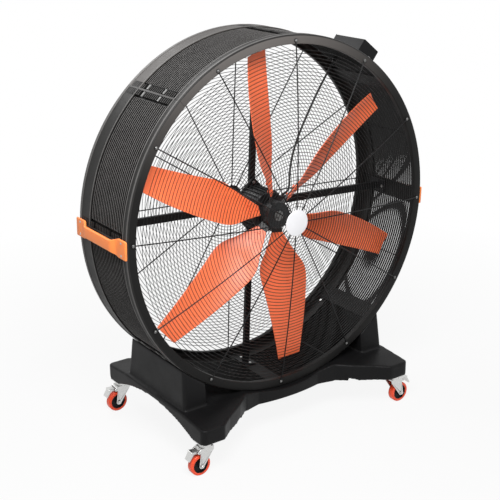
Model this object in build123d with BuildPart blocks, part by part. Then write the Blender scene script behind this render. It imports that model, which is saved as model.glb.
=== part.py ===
from build123d import *
import os
from math import asin, cos, degrees, radians, sin, tan

# A drum fan: a guarded barrel with a directly driven six-bladed rotor, lying in the cradle
# of a one-piece base on four braked swivel castors. Millimetres, +Z up, air blown towards
# -Y, the origin on the floor under the middle of the base.

# Fits
seat_gap = 0.3
running_gap = 0.05
hole_gap = 0.3
tip_gap = 1
cable_gap = 0.5

# Fasteners: M8 frame and blade bolts, M6 screws
frame_thread = 4
frame_bolt_length = 18
blade_thread = 4
screw_thread = 3
screw_length = 12
head_spread = 1.875
head_rise = 1.3
nut_rise = 1.6

# Drum
drum_radius = 820
drum_depth = 436
drum_front = -236
hub_height = 1027
drum_turn = -2.8

# End rings of the drum, each in four lengths
ring_face = 42
ring_wall = 6
ring_lip = 24
front_band = 44
front_corner = 8
rear_band = 111
rear_corner = 26
ring_lengths = 4
seam_gap = 0.8

# Struts between the end rings, and the slatted panels between the struts
strut_count = 8
strut_width = 40
strut_thickness = 12
strut_inset = 30
slat_count = 20
slat_thickness = 3
slat_width = 9.5
rail_width = 6
rib_thickness = 4
front_overlap = 3
rear_overlap = 14

# Clips over the strut edges at the ring seams
clip_length = 34
clip_width = 10
clip_thickness = 3
clip_middle = 200
clip_spacing = 130

# Wire guards
stay_count = 12
stay_width = 4
guard_wire = 3.2
guard_rings = 20
guard_first_ring = 84
guard_last_ring = 768
guard_plate_radius = 57
eyelet_radius = 9
eyelet_thickness = 4
front_guard_reach = 793
front_guard_rise = 60
rear_guard_reach = 787
rear_guard_rise = 7
disc_radius = 60
disc_thickness = 4
disc_crown = 3

# Rotor
rotor_depth = 100
rotor_angle = 39.3
blade_count = 6
blade_thickness = 4
blade_camber = 0.05
hub_radius = 62
hub_length = 62
arm_reach = 176
arm_width = 48
arm_thickness = 8
arm_corner = 10
blade_bolt_radii = (112, 156)
blade_bolt_spread = 14
hub_washer_radius = 24
hub_washer = 4
hub_thread = 8
hub_bolt_length = 38

# Blade: a flat root up to its seat, a shoulder, and a vane that tapers to the tip
blade_root = 92
root_chord = 52
blade_seat = 190
seat_chord = 138
shoulder_radius = 260
shoulder_chord = 204
belly_radius = 330
belly_chord = 212
tip_radius = 742
tip_chord = 113
root_pitch = 45
tip_pitch = 12
tip_lead = -30
vane_steps = 4

# Motor
motor_radius = 92
motor_length = 120
motor_wall = 6
motor_back = 12
cover_thickness = 8
boss_radius = 40
fin_count = 28
fin_height = 9
fin_thickness = 3
bearing_radius = 31
bearing_width = 16
shaft_radius = 15
air_gap = 0.6
core_radius = 52
core_length = 48
plate_size = 196
plate_thickness = 8
plate_corner = 12
plate_bolt_radius = 112
motor_bolt_radius = 80

# Support bars behind the motor
bar_depth = 287
upright_width = 30
cross_width = 35
bar_thickness = 18
bar_wall = 3
foot_width = 60
foot_length = 100
foot_thickness = 6
foot_bolt_spread = 38

# Handles
handle_angles = (0.4, 181.4)
handle_width = 82
grip_width = 51
grip_thickness = 13
grip_clear = 13
handle_foot = 9
handle_seat = 5.5
handle_start = 1
handle_end = 434
front_foot_length = 76
rear_foot_length = 74
grip_ramp = 30
neck_lead = 14
neck_tail = 14
handle_corner = 6
handle_screw_spread = 27
handle_screw_inset = 36

# Control box
box_angle = 54.5
box_width = 109
box_height = 80
box_start = 100
box_length = 200
box_wall = 3
box_corner = 6
box_post = 13
box_post_length = 16
flange_start = 20
flange_end = 392
flange_thickness = 4
flange_screw_spread = 38
flange_screw_inset = 12
panel_thickness = 3
panel_screw_inset = 8
knob_radius = 19
knob_length = 16
knob_shaft = 3
knob_taper = 6
knob_slot = 2.4
knob_tail = 8
switch_width = 22
switch_length = 16
switch_tilt = 8
switch_crest = 4
switch_shoulder = 2
switch_tuck = 3
switch_depth = 6

# Cable from the control box to the motor
gland_radius = 10
gland_nut = 14
gland_nut_length = 6
gland_reach = 14
gland_depth = 285
cable_radius = 5
cable_lead = 52
motor_gland_angle = 14
motor_gland_depth = 225

# Base
base_bottom = 160
base_wall = 6
foot_side = 600
foot_tip = 487
foot_reach = 428
beam_half = 250
waist_half = 264
tray_top = 246
tip_top = 231
plan_corner = 26
tray_edge = 5
cradle_gap = 0.4
pedestal_sink = 9
pedestal_inner = 456
pedestal_outer = 582
pedestal_half = 250
pedestal_top = 480
pedestal_top_outer = 566
pedestal_top_half = 226
pedestal_corner = 14
arch_half = 325
arch_rise = 62
arch_inner = 320
cradle_bolt_angle = 38.5
cradle_bolt_depths = (30, 372)
insert_radius = 14
insert_length = 30

# Castors
castor_x = 556
castor_y = 372
wheel_radius = 50
core_rim_radius = 37
core_rim = 5
core_rim_width = 30
core_web = 20
core_hub_radius = 13
tread_width = 32
tread_corner = 5
castor_trail = 34
plate_length_x = 88
plate_length_y = 78
top_plate = 4
top_plate_corner = 8
plate_bolt_x = 33
plate_bolt_y = 28
cup_radius = 31
cup_height = 15
cup_wall = 12
collar_radius = 28
fork_top = 134
fork_crown = 7
crown_middle = 2
crown_length = 64
crown_height = 16
ear_root = 20
ear_edge = 2
fork_inner = 21
fork_steel = 4
kingpin_radius = 6
kingpin_head = 13
kingpin_head_height = 6
axle_radius = 5
axle_eye = 13
axle_end = 9
pedal_pivot_x = 46
pedal_pivot_z = 118.5
pedal_pin = 3
pedal_barrel = 5.5
pedal_width = 34
pedal_heel = (78, 127)
pedal_nose = (83, 124)
pedal_notch = (79, 120)
pedal_tip = (97, 89)
pedal_tip_under = (92, 84)
pedal_knee = (70, 114)
pad_size = 84

mouth_radius = drum_radius - ring_face
band_inner = drum_radius - ring_wall
strut_outer = band_inner - 0.5
strut_inner = strut_outer - strut_thickness
slat_outer = band_inner - 0.4
slat_inner = slat_outer - slat_width
rear_band_start = drum_depth - rear_band


def outward(angle):
    """Unit vector away from the drum axis, at an angle in the turned drum."""
    return Vector(cos(radians(angle + drum_turn)), 0, sin(radians(angle + drum_turn)))


def around(angle):
    """Unit vector round the drum axis, counterclockwise as seen from the front."""
    return Vector(-sin(radians(angle + drum_turn)), 0, cos(radians(angle + drum_turn)))


def on_drum(angle, radius, depth):
    """Point in the drum, with its depth behind the front face."""
    return Vector(0, drum_front + depth, hub_height) + outward(angle) * radius


def across(depth):
    """Plane square to the drum axis, looking towards the front."""
    return Plane(origin=on_drum(0, 0, depth), x_dir=outward(0), z_dir=(0, -1, 0))


def behind(depth):
    """Plane square to the drum axis, looking towards the rear."""
    return Plane(origin=on_drum(0, 0, depth), x_dir=outward(0), z_dir=(0, 1, 0))


def radial(angle):
    """Plane through the drum axis: x is the radius, y is the depth."""
    return Plane(origin=on_drum(0, 0, 0), x_dir=outward(angle), z_dir=around(angle))


def facing(angle, radius, depth):
    """Plane that touches the cylinder of this radius, looking away from the axis."""
    return Plane(origin=on_drum(angle, radius, depth), x_dir=around(angle), z_dir=outward(angle))


def hex_bolt(seat, thread, length):
    """Bolt whose head stands on the seat plane and whose shank goes down from it."""
    with BuildPart() as bolt:
        with BuildSketch(seat):
            RegularPolygon(radius=thread * head_spread, side_count=6)
        extrude(amount=thread * head_rise)
        with BuildSketch(seat):
            Circle(thread)
        extrude(amount=-length)
    return bolt.part


def pan_screw(seat, thread, length):
    """Round-headed screw whose head stands on the seat plane."""
    with BuildPart() as screw:
        with BuildSketch(seat):
            Circle(thread * head_spread)
        extrude(amount=thread * head_rise)
        with BuildSketch(seat):
            Circle(thread)
        extrude(amount=-length)
    return screw.part


def peg(seat, radius, length):
    """Round peg that goes down from the seat plane, for holes and pins."""
    with BuildPart() as solid:
        with BuildSketch(seat):
            Circle(radius)
        extrude(amount=-length)
    return solid.part


drum_axis = Axis(on_drum(0, 0, 0), (0, -1, 0))

# Seats of the fasteners, from which the fasteners and their holes both follow

front_guard_seats = [
    Plane(origin=on_drum(360 / stay_count * k, front_guard_reach, -eyelet_thickness), z_dir=(0, -1, 0))
    for k in range(stay_count)
]
rear_guard_seats = [
    Plane(
        origin=on_drum(360 / stay_count * k, rear_guard_reach, drum_depth + eyelet_thickness),
        z_dir=(0, 1, 0),
    )
    for k in range(stay_count)
]


def offset_facing(angle, radius, depth, sideways):
    """The facing plane at an angle, moved along its own x."""
    plane = facing(angle, radius, depth)
    return Plane(origin=plane.origin + plane.x_dir * sideways, x_dir=plane.x_dir, z_dir=plane.z_dir)


handle_screw_depths = (handle_start + handle_screw_inset, handle_end - handle_screw_inset)
handle_seats = [
    offset_facing(angle, drum_radius + seat_gap + handle_seat, depth, side * handle_screw_spread)
    for angle in handle_angles
    for depth in handle_screw_depths
    for side in (-1, 1)
]
flange_screw_depths = (flange_start + flange_screw_inset, flange_end - flange_screw_inset)
flange_seats = [
    offset_facing(
        box_angle, drum_radius + seat_gap + flange_thickness, depth, side * flange_screw_spread
    )
    for depth in flange_screw_depths
    for side in (-1, 1)
]
cradle_seats = [
    Plane(
        origin=on_drum(-90 + side * cradle_bolt_angle - drum_turn, band_inner - seat_gap, depth),
        z_dir=-outward(-90 + side * cradle_bolt_angle - drum_turn),
    )
    for side in (-1, 1)
    for depth in cradle_bolt_depths
]
bar_foot_radius = strut_inner - seat_gap - foot_thickness
bar_seats = [
    Plane(
        origin=on_drum(angle, bar_foot_radius, bar_depth + side * foot_bolt_spread),
        z_dir=-outward(angle),
    )
    for angle in (0, 90, 180, 270)
    for side in (-1, 1)
]
motor_plate_front = bar_depth - bar_thickness / 2 - plate_thickness
plate_seats = [
    Plane(origin=on_drum(angle, plate_bolt_radius, motor_plate_front), z_dir=(0, -1, 0))
    for angle in (0, 90, 180, 270)
]
motor_seats = [
    Plane(
        origin=on_drum(angle, motor_bolt_radius, motor_plate_front + plate_thickness), z_dir=(0, 1, 0)
    )
    for angle in (45, 135, 225, 315)
]
castor_corners = {
    "front_left": (-1, -1),
    "front_right": (1, -1),
    "rear_left": (-1, 1),
    "rear_right": (1, 1),
}
castor_seats = [
    Plane(
        origin=(
            side * castor_x + i * plate_bolt_x,
            end * castor_y + j * plate_bolt_y,
            base_bottom - top_plate,
        ),
        z_dir=(0, 0, -1),
    )
    for side, end in castor_corners.values()
    for i in (-1, 1)
    for j in (-1, 1)
]


# ---- Base: one closed hollow moulding ----


def base_form(inset):
    """The base's outer form, or with an inset the form of the hollow inside its wall."""
    with BuildPart() as form:
        with BuildSketch(Plane.XY.offset(base_bottom + inset)) as plan:
            with BuildLine():
                Polyline(
                    (waist_half, beam_half),
                    (foot_tip, foot_reach),
                    (foot_side, foot_reach),
                    (foot_side, -foot_reach),
                    (foot_tip, -foot_reach),
                    (waist_half, -beam_half),
                    (-waist_half, -beam_half),
                    (-foot_tip, -foot_reach),
                    (-foot_side, -foot_reach),
                    (-foot_side, foot_reach),
                    (-foot_tip, foot_reach),
                    (-waist_half, beam_half),
                    close=True,
                )
            make_face()
            fillet(plan.vertices(), radius=plan_corner)
            if inset:
                offset(amount=-inset)
        extrude(amount=tray_top - base_bottom - 2 * inset)
        for end in (-1, 1):
            fall = Plane(
                origin=(0, end * pedestal_half, tray_top - inset),
                z_dir=(0, end * (tray_top - tip_top), foot_reach - pedestal_half),
            )
            split(bisect_by=fall, keep=Keep.BOTTOM)
        for side in (-1, 1):
            with BuildSketch(Plane.XY.offset(tray_top - inset - pedestal_sink)):
                with Locations((side * (pedestal_inner + pedestal_outer) / 2, 0)):
                    RectangleRounded(
                        pedestal_outer - pedestal_inner - 2 * inset,
                        2 * (pedestal_half - inset),
                        pedestal_corner,
                    )
            with BuildSketch(Plane.XY.offset(pedestal_top)):
                with Locations((side * (pedestal_inner + pedestal_top_outer) / 2, 0)):
                    RectangleRounded(
                        pedestal_top_outer - pedestal_inner - 2 * inset,
                        2 * (pedestal_top_half - inset),
                        pedestal_corner,
                    )
            loft()
        with BuildSketch(Plane.XZ):
            with Locations((0, hub_height)):
                Circle(drum_radius + cradle_gap + inset)
        extrude(amount=2 * foot_reach, both=True, mode=Mode.SUBTRACT)
        arch_radius = (arch_half**2 + arch_rise**2) / (2 * arch_rise)
        for side in (-1, 1):
            with BuildSketch(Plane.YZ.offset(side * (arch_inner - inset))):
                with Locations((0, base_bottom + arch_rise - arch_radius)):
                    Circle(arch_radius + inset)
            extrude(amount=side * foot_side, mode=Mode.SUBTRACT)
    return form.part


base_outside = base_form(0)
base_hollow = base_form(base_wall)
cradle_inserts = [
    peg(Plane(origin=seat.origin, z_dir=seat.z_dir), insert_radius, insert_length) for seat in cradle_seats
]
cradle_holes = [peg(seat, frame_thread + hole_gap, frame_bolt_length + tip_gap) for seat in cradle_seats]
castor_holes = [peg(seat, frame_thread + hole_gap, frame_bolt_length + tip_gap) for seat in castor_seats]

with BuildPart() as base_core:
    add(base_hollow)
    with BuildSketch(Plane.XY.offset(base_bottom)):
        with GridLocations(2 * castor_x, 2 * castor_y, 2, 2):
            Rectangle(pad_size, pad_size)
    extrude(amount=tray_top - base_bottom, mode=Mode.SUBTRACT)
    add(cradle_inserts, mode=Mode.SUBTRACT)


def on_tray_rim(edge):
    """Whether an edge runs round the top of the tray's outer side."""
    spot = edge.center()
    level = tip_top - tray_edge < spot.Z < tray_top + 1
    return level and (abs(spot.Y) > beam_half + 1 or abs(spot.X) > foot_side - plan_corner / 3)


with BuildPart() as base:
    add(base_outside)
    fillet([edge for edge in base.edges() if on_tray_rim(edge)], radius=tray_edge)
    add(base_core.part, mode=Mode.SUBTRACT)
    add(cradle_holes + castor_holes, mode=Mode.SUBTRACT)


# ---- Drum: two flanged rings joined by struts, with slatted panels between them ----


def end_ring(face, inward, band, corner, guard_seats):
    """Channel ring in four lengths, with its flat face at one end of the drum."""
    seam_angle = degrees(seam_gap / drum_radius)
    length_angle = 360 / ring_lengths
    band_end = face + inward * band
    wall_end = face + inward * ring_wall
    lip_end = face + inward * ring_lip
    with BuildPart() as ring:
        for k in range(ring_lengths):
            with BuildSketch(radial((k + 0.5) * length_angle + seam_angle / 2)) as section:
                with BuildLine():
                    Polyline(
                        (mouth_radius, face),
                        (drum_radius, face),
                        (drum_radius, band_end),
                        (band_inner, band_end),
                        (band_inner, wall_end),
                        (mouth_radius + ring_wall, wall_end),
                        (mouth_radius + ring_wall, lip_end),
                        (mouth_radius, lip_end),
                        close=True,
                    )
                make_face()
                outer_corner = section.vertices().sort_by_distance((drum_radius, face))[0]
                fillet(outer_corner, radius=corner)
                inner_corner = section.vertices().sort_by_distance((band_inner, wall_end))[0]
                fillet(inner_corner, radius=max(corner - ring_wall, 1))
            revolve(axis=drum_axis, revolution_arc=length_angle - seam_angle)
        holes = [peg(seat, screw_thread + hole_gap, screw_length) for seat in guard_seats]
        holes += [peg(seat, screw_thread + hole_gap, screw_length + tip_gap) for seat in handle_seats]
        holes += [peg(seat, screw_thread + hole_gap, screw_length + tip_gap) for seat in flange_seats]
        holes += [peg(seat, frame_thread + hole_gap, frame_bolt_length) for seat in cradle_seats]
        add(holes, mode=Mode.SUBTRACT)
    return ring


front_ring = end_ring(0, 1, front_band, front_corner, front_guard_seats)
rear_ring = end_ring(drum_depth, -1, rear_band, rear_corner, rear_guard_seats)

strut_length = drum_depth - 2 * strut_inset
bar_holes = [peg(seat, frame_thread + hole_gap, frame_bolt_length + tip_gap) for seat in bar_seats]
with BuildPart() as drum_struts:
    for k in range(strut_count):
        with BuildSketch(facing(360 / strut_count * k, strut_inner, drum_depth / 2)):
            Rectangle(strut_width, strut_length)
        extrude(amount=strut_thickness)
    add(bar_holes, mode=Mode.SUBTRACT)

panel_start = front_band - front_overlap
panel_end = rear_band_start + rear_overlap
panel_middle = (panel_start + panel_end) / 2
slat_middle = (slat_inner + slat_outer) / 2
slat_pitch = (rear_band_start - front_band) / slat_count
strut_half_angle = degrees(asin((strut_width / 2 + seat_gap) / slat_inner))
panel_angle = 360 / strut_count - 2 * strut_half_angle

with BuildPart() as grille_panel:
    with BuildSketch(radial(strut_half_angle)):
        with Locations(*[(slat_middle, front_band + (k + 0.5) * slat_pitch) for k in range(slat_count)]):
            Rectangle(slat_width, slat_thickness)
        with Locations(
            (slat_middle, panel_start + rail_width / 2), (slat_middle, panel_end - rail_width / 2)
        ):
            Rectangle(slat_width, rail_width)
    revolve(axis=drum_axis, revolution_arc=panel_angle)
    for angle, shift in ((0, 0), (0.5, -rib_thickness / 2), (1, -rib_thickness)):
        rib_plane = radial(strut_half_angle + angle * panel_angle)
        with BuildSketch(rib_plane.offset(shift)):
            with Locations((slat_middle, panel_middle)):
                Rectangle(slat_width, panel_end - panel_start)
        extrude(amount=rib_thickness)

panel_copies = [grille_panel.part.rotate(drum_axis, 360 / strut_count * k) for k in range(strut_count)]
gland_pad = 2 * gland_nut + 8
with BuildPart() as side_grilles:
    add(panel_copies)
    with BuildSketch(facing(box_angle, slat_inner, gland_depth)):
        Rectangle(gland_pad, gland_pad)
    extrude(amount=slat_width)
    with BuildSketch(facing(box_angle, slat_inner, gland_depth)):
        Circle(gland_radius + hole_gap)
    extrude(amount=2 * slat_width, both=True, mode=Mode.SUBTRACT)

with BuildPart() as seam_clips:
    for k in range(ring_lengths):
        seam = (k + 0.5) * 360 / ring_lengths
        for side in (-1, 1):
            for end in (-1, 1):
                clip_plane = offset_facing(
                    seam,
                    band_inner + seat_gap,
                    clip_middle + end * clip_spacing / 2,
                    side * strut_width / 2,
                )
                with BuildSketch(clip_plane):
                    Rectangle(clip_length, clip_width)
                extrude(amount=clip_thickness)


# ---- Wire guards over both ends ----


def wire_guard(rim, rise, reach, seats):
    """Round guard of rings on stays, bulging by the rise between its centre and its rim."""

    def depth_at(radius):
        return rim + rise * (1 - (radius / reach) ** 2)

    ring_step = (guard_last_ring - guard_first_ring) / (guard_rings - 1)
    ring_radii = [guard_first_ring + k * ring_step for k in range(guard_rings)]
    stay_start = guard_plate_radius / 2
    stay_end = reach - screw_thread * head_spread - 1
    stay_middle = (stay_start + stay_end) / 2
    with BuildPart() as guard:
        with BuildSketch(radial(0)):
            with Locations(*[(radius, depth_at(radius)) for radius in ring_radii]):
                Rectangle(guard_wire, guard_wire)
        revolve(axis=drum_axis)
        for k in range(stay_count):
            with BuildSketch(radial(360 / stay_count * k)):
                with BuildLine():
                    ahead = ThreePointArc(
                        (stay_start, depth_at(stay_start) - stay_width / 2),
                        (stay_middle, depth_at(stay_middle) - stay_width / 2),
                        (stay_end, depth_at(stay_end) - stay_width / 2),
                    )
                    astern = ThreePointArc(
                        (stay_start, depth_at(stay_start) + stay_width / 2),
                        (stay_middle, depth_at(stay_middle) + stay_width / 2),
                        (stay_end, depth_at(stay_end) + stay_width / 2),
                    )
                    Line(ahead @ 0, astern @ 0)
                    Line(ahead @ 1, astern @ 1)
                make_face()
            extrude(amount=stay_width / 2, both=True)
        with BuildSketch(across(rim)):
            with PolarLocations(reach, stay_count):
                Circle(eyelet_radius)
        extrude(amount=eyelet_thickness / 2, both=True)
        with BuildSketch(across(depth_at(0))):
            Circle(guard_plate_radius)
        extrude(amount=stay_width / 2, both=True)
        add([peg(seat, screw_thread + hole_gap, screw_length) for seat in seats], mode=Mode.SUBTRACT)
    return guard


front_guard_rim = -eyelet_thickness / 2
rear_guard_rim = drum_depth + eyelet_thickness / 2
front_guard = wire_guard(front_guard_rim, -front_guard_rise, front_guard_reach, front_guard_seats)
rear_guard = wire_guard(rear_guard_rim, rear_guard_rise, rear_guard_reach, rear_guard_seats)

with BuildPart() as guard_screws:
    add([pan_screw(seat, screw_thread, screw_length) for seat in front_guard_seats + rear_guard_seats])

disc_back = front_guard_rim - front_guard_rise - stay_width / 2
disc_sphere = (disc_radius**2 + disc_crown**2) / (2 * disc_crown)
disc_top = disc_back - disc_thickness - disc_crown
with BuildPart() as centre_disc:
    with BuildSketch(across(disc_back)):
        Circle(disc_radius)
    extrude(amount=disc_thickness + disc_crown)
    with Locations(across(disc_top + disc_sphere)):
        Sphere(disc_sphere, mode=Mode.INTERSECT)


# ---- Support bars and motor ----

bar_plane = across(bar_depth)
plate_holes = [peg(seat, frame_thread + hole_gap, frame_bolt_length + tip_gap) for seat in plate_seats]

with BuildPart() as support_upright:
    with BuildSketch(Plane(origin=bar_plane.origin, x_dir=outward(0), z_dir=around(0))):
        Rectangle(upright_width, bar_thickness)
        Rectangle(upright_width - 2 * bar_wall, bar_thickness - 2 * bar_wall, mode=Mode.SUBTRACT)
    extrude(amount=bar_foot_radius, both=True)
    for angle in (90, 270):
        with BuildSketch(facing(angle, bar_foot_radius, bar_depth)):
            Rectangle(foot_width, foot_length)
        extrude(amount=foot_thickness)
    add(bar_holes + plate_holes, mode=Mode.SUBTRACT)

with BuildPart() as support_crossbars:
    for angle in (0, 180):
        with BuildSketch(facing(angle, upright_width / 2 + seat_gap, bar_depth)):
            Rectangle(cross_width, bar_thickness)
            Rectangle(cross_width - 2 * bar_wall, bar_thickness - 2 * bar_wall, mode=Mode.SUBTRACT)
        extrude(amount=bar_foot_radius - upright_width / 2 - seat_gap)
        with BuildSketch(facing(angle, bar_foot_radius, bar_depth)):
            Rectangle(foot_width, foot_length)
        extrude(amount=foot_thickness)
    add(bar_holes + plate_holes, mode=Mode.SUBTRACT)

motor_holes = [peg(seat, frame_thread + hole_gap, frame_bolt_length + tip_gap) for seat in motor_seats]
with BuildPart() as motor_plate:
    with BuildSketch(across(motor_plate_front + plate_thickness)):
        RectangleRounded(plate_size, plate_size, plate_corner, rotation=45)
    extrude(amount=plate_thickness)
    add(plate_holes + motor_holes, mode=Mode.SUBTRACT)

motor_rear = motor_plate_front
motor_front = motor_rear - motor_length
rear_bearing_front = motor_rear - motor_back - bearing_width - 1
motor_gland_seat = facing(motor_gland_angle - drum_turn, motor_radius, motor_gland_depth)
motor_gland_hole = peg(
    facing(motor_gland_angle - drum_turn, motor_radius + fin_height + tip_gap, motor_gland_depth),
    gland_radius + hole_gap,
    fin_height + motor_wall + 2 * tip_gap,
)
with BuildPart() as motor_housing:
    with BuildSketch(across(motor_rear)):
        Circle(motor_radius)
    extrude(amount=motor_length)
    with BuildSketch(across(motor_rear)):
        with PolarLocations(motor_radius + fin_height / 2 - 0.5, fin_count):
            Rectangle(fin_height + 1, fin_thickness)
    extrude(amount=motor_length)
    with BuildSketch(across(motor_rear - motor_back)):
        Circle(motor_radius - motor_wall)
        Circle(boss_radius, mode=Mode.SUBTRACT)
    extrude(amount=motor_length, mode=Mode.SUBTRACT)
    with BuildSketch(across(rear_bearing_front - 1)):
        Circle(boss_radius + 1)
    extrude(amount=motor_length, mode=Mode.SUBTRACT)
    with BuildSketch(across(motor_rear - motor_back)):
        Circle(bearing_radius + running_gap)
    extrude(amount=motor_length, mode=Mode.SUBTRACT)
    add(motor_holes + [motor_gland_hole], mode=Mode.SUBTRACT)

front_bearing_rear = motor_front + bearing_width + 1
with BuildPart() as motor_cover:
    with BuildSketch(across(motor_front)):
        Circle(motor_radius)
    extrude(amount=cover_thickness)
    with BuildSketch(behind(motor_front)):
        Circle(boss_radius)
    extrude(amount=bearing_width + 2)
    with BuildSketch(behind(motor_front)):
        Circle(bearing_radius + running_gap)
    extrude(amount=bearing_width + 2, mode=Mode.SUBTRACT)
    with BuildSketch(behind(motor_front - cover_thickness)):
        Circle(shaft_radius + 1)
    extrude(amount=cover_thickness, mode=Mode.SUBTRACT)

with BuildPart() as motor_bearings:
    with BuildSketch(behind(rear_bearing_front)):
        Circle(bearing_radius)
        Circle(shaft_radius + running_gap, mode=Mode.SUBTRACT)
    extrude(amount=bearing_width)
    with BuildSketch(across(front_bearing_rear)):
        Circle(bearing_radius)
        Circle(shaft_radius + running_gap, mode=Mode.SUBTRACT)
    extrude(amount=bearing_width)

core_front = (front_bearing_rear + rear_bearing_front - core_length) / 2
with BuildPart() as motor_stator:
    with BuildSketch(behind(core_front)):
        Circle(motor_radius - motor_wall - seat_gap)
        Circle(core_radius, mode=Mode.SUBTRACT)
    extrude(amount=core_length)

with BuildPart() as motor_core:
    with BuildSketch(behind(core_front)):
        Circle(core_radius - air_gap)
        Circle(shaft_radius + running_gap, mode=Mode.SUBTRACT)
    extrude(amount=core_length)

hub_front = rotor_depth - hub_length / 2
shaft_front = hub_front + 1
shaft_rear = rear_bearing_front + bearing_width
with BuildPart() as motor_shaft:
    with BuildSketch(behind(shaft_front)):
        Circle(shaft_radius)
    extrude(amount=shaft_rear - shaft_front)
    with BuildSketch(behind(shaft_front)):
        Circle(hub_thread + running_gap)
    extrude(amount=hub_bolt_length, mode=Mode.SUBTRACT)


# ---- Rotor: hub with six pitched arms, and the blades bolted onto them ----


def blade_plane(angle, radius, pitch):
    """Plane square to a blade: x runs along its chord and y towards its front side."""
    chordwise = around(angle) * cos(radians(pitch)) - Vector(0, 1, 0) * sin(radians(pitch))
    return Plane(origin=on_drum(angle, radius, rotor_depth), x_dir=chordwise, z_dir=outward(angle))


def blade_face(angle, offset_forward):
    """Plane of the blade's flat root, moved towards the blade's front side."""
    section = blade_plane(angle, 0, root_pitch)
    return Plane(
        origin=section.origin + section.y_dir * offset_forward, x_dir=section.z_dir, z_dir=section.y_dir
    )


def blade_bolt_seats(angle, offset_forward):
    """Planes at the blade's bolts, on its front side."""
    face = blade_face(angle, offset_forward)
    spots = [(blade_bolt_radii[0], 0)]
    spots += [(blade_bolt_radii[1], side * blade_bolt_spread) for side in (-1, 1)]
    return [
        Plane(origin=face.from_local_coords(Vector(*spot, 0)), x_dir=face.x_dir, z_dir=face.z_dir)
        for spot in spots
    ]


blade_angles = [rotor_angle - drum_turn + 360 / blade_count * k for k in range(blade_count)]
blade_stack = blade_thickness + arm_thickness
blade_seats = [seat for angle in blade_angles for seat in blade_bolt_seats(angle, blade_thickness / 2)]
blade_holes = [peg(seat, blade_thread + hole_gap, blade_stack + tip_gap) for seat in blade_seats]

with BuildPart() as fan_hub:
    with BuildSketch(behind(hub_front)):
        Circle(hub_radius)
    extrude(amount=hub_length)
    for angle in blade_angles:
        with BuildSketch(blade_face(angle, -blade_thickness / 2)):
            with Locations((arm_reach / 2, 0)):
                RectangleRounded(arm_reach, arm_width, arm_corner)
        extrude(amount=-arm_thickness)
    with BuildSketch(behind(hub_front)):
        Circle(shaft_radius + running_gap)
    extrude(amount=hub_length, mode=Mode.SUBTRACT)
    add(blade_holes, mode=Mode.SUBTRACT)


vane_radii = [shoulder_radius, belly_radius]
vane_radii += [belly_radius + (tip_radius - belly_radius) * (k + 1) / vane_steps for k in range(vane_steps)]


def vane_section(radius):
    """Chord, pitch and forward shift of the vane at a radius."""
    taper = max(radius - belly_radius, 0) / (tip_radius - belly_radius)
    chord = belly_chord + (tip_chord - belly_chord) * taper
    if radius < belly_radius:
        chord = shoulder_chord
    twist = (radius - blade_seat) / (tip_radius - blade_seat)
    return chord, root_pitch + (tip_pitch - root_pitch) * twist, tip_lead * taper**2


def fan_blade(angle):
    """Blade with a flat root for its bolts and a cambered, twisting vane."""
    skin = blade_thickness / 2
    with BuildPart() as blade:
        for radius, chord in ((blade_root, root_chord), (blade_seat, seat_chord)):
            with BuildSketch(blade_plane(angle, radius, root_pitch)):
                Rectangle(chord, blade_thickness)
        for radius in vane_radii:
            chord, pitch, lead = vane_section(radius)
            edge = lead + chord / 2
            sag = chord * blade_camber
            with BuildSketch(blade_plane(angle, radius, pitch)):
                with BuildLine():
                    front = ThreePointArc((edge - chord, skin), (lead, skin - sag), (edge, skin))
                    back = ThreePointArc((edge - chord, -skin), (lead, -skin - sag), (edge, -skin))
                    Line(front @ 0, back @ 0)
                    Line(front @ 1, back @ 1)
                make_face()
        loft(ruled=True)
        add(blade_holes, mode=Mode.SUBTRACT)
    return blade


fan_blades = {f"fan_blade_{k + 1}": fan_blade(blade_angles[k]) for k in range(blade_count)}

with BuildPart() as blade_bolts:
    add([hex_bolt(seat, blade_thread, blade_stack + blade_thread * 2) for seat in blade_seats])
    for angle in blade_angles:
        for seat in blade_bolt_seats(angle, blade_thickness / 2 - blade_stack):
            with BuildSketch(seat):
                RegularPolygon(radius=blade_thread * head_spread, side_count=6)
            extrude(amount=-blade_thread * nut_rise)

with BuildPart() as hub_bolt:
    add(hex_bolt(across(hub_front - hub_washer), hub_thread, hub_washer + hub_bolt_length - 2))
    with BuildSketch(across(hub_front)):
        Circle(hub_washer_radius)
    extrude(amount=hub_washer)


# ---- Handles ----


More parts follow.
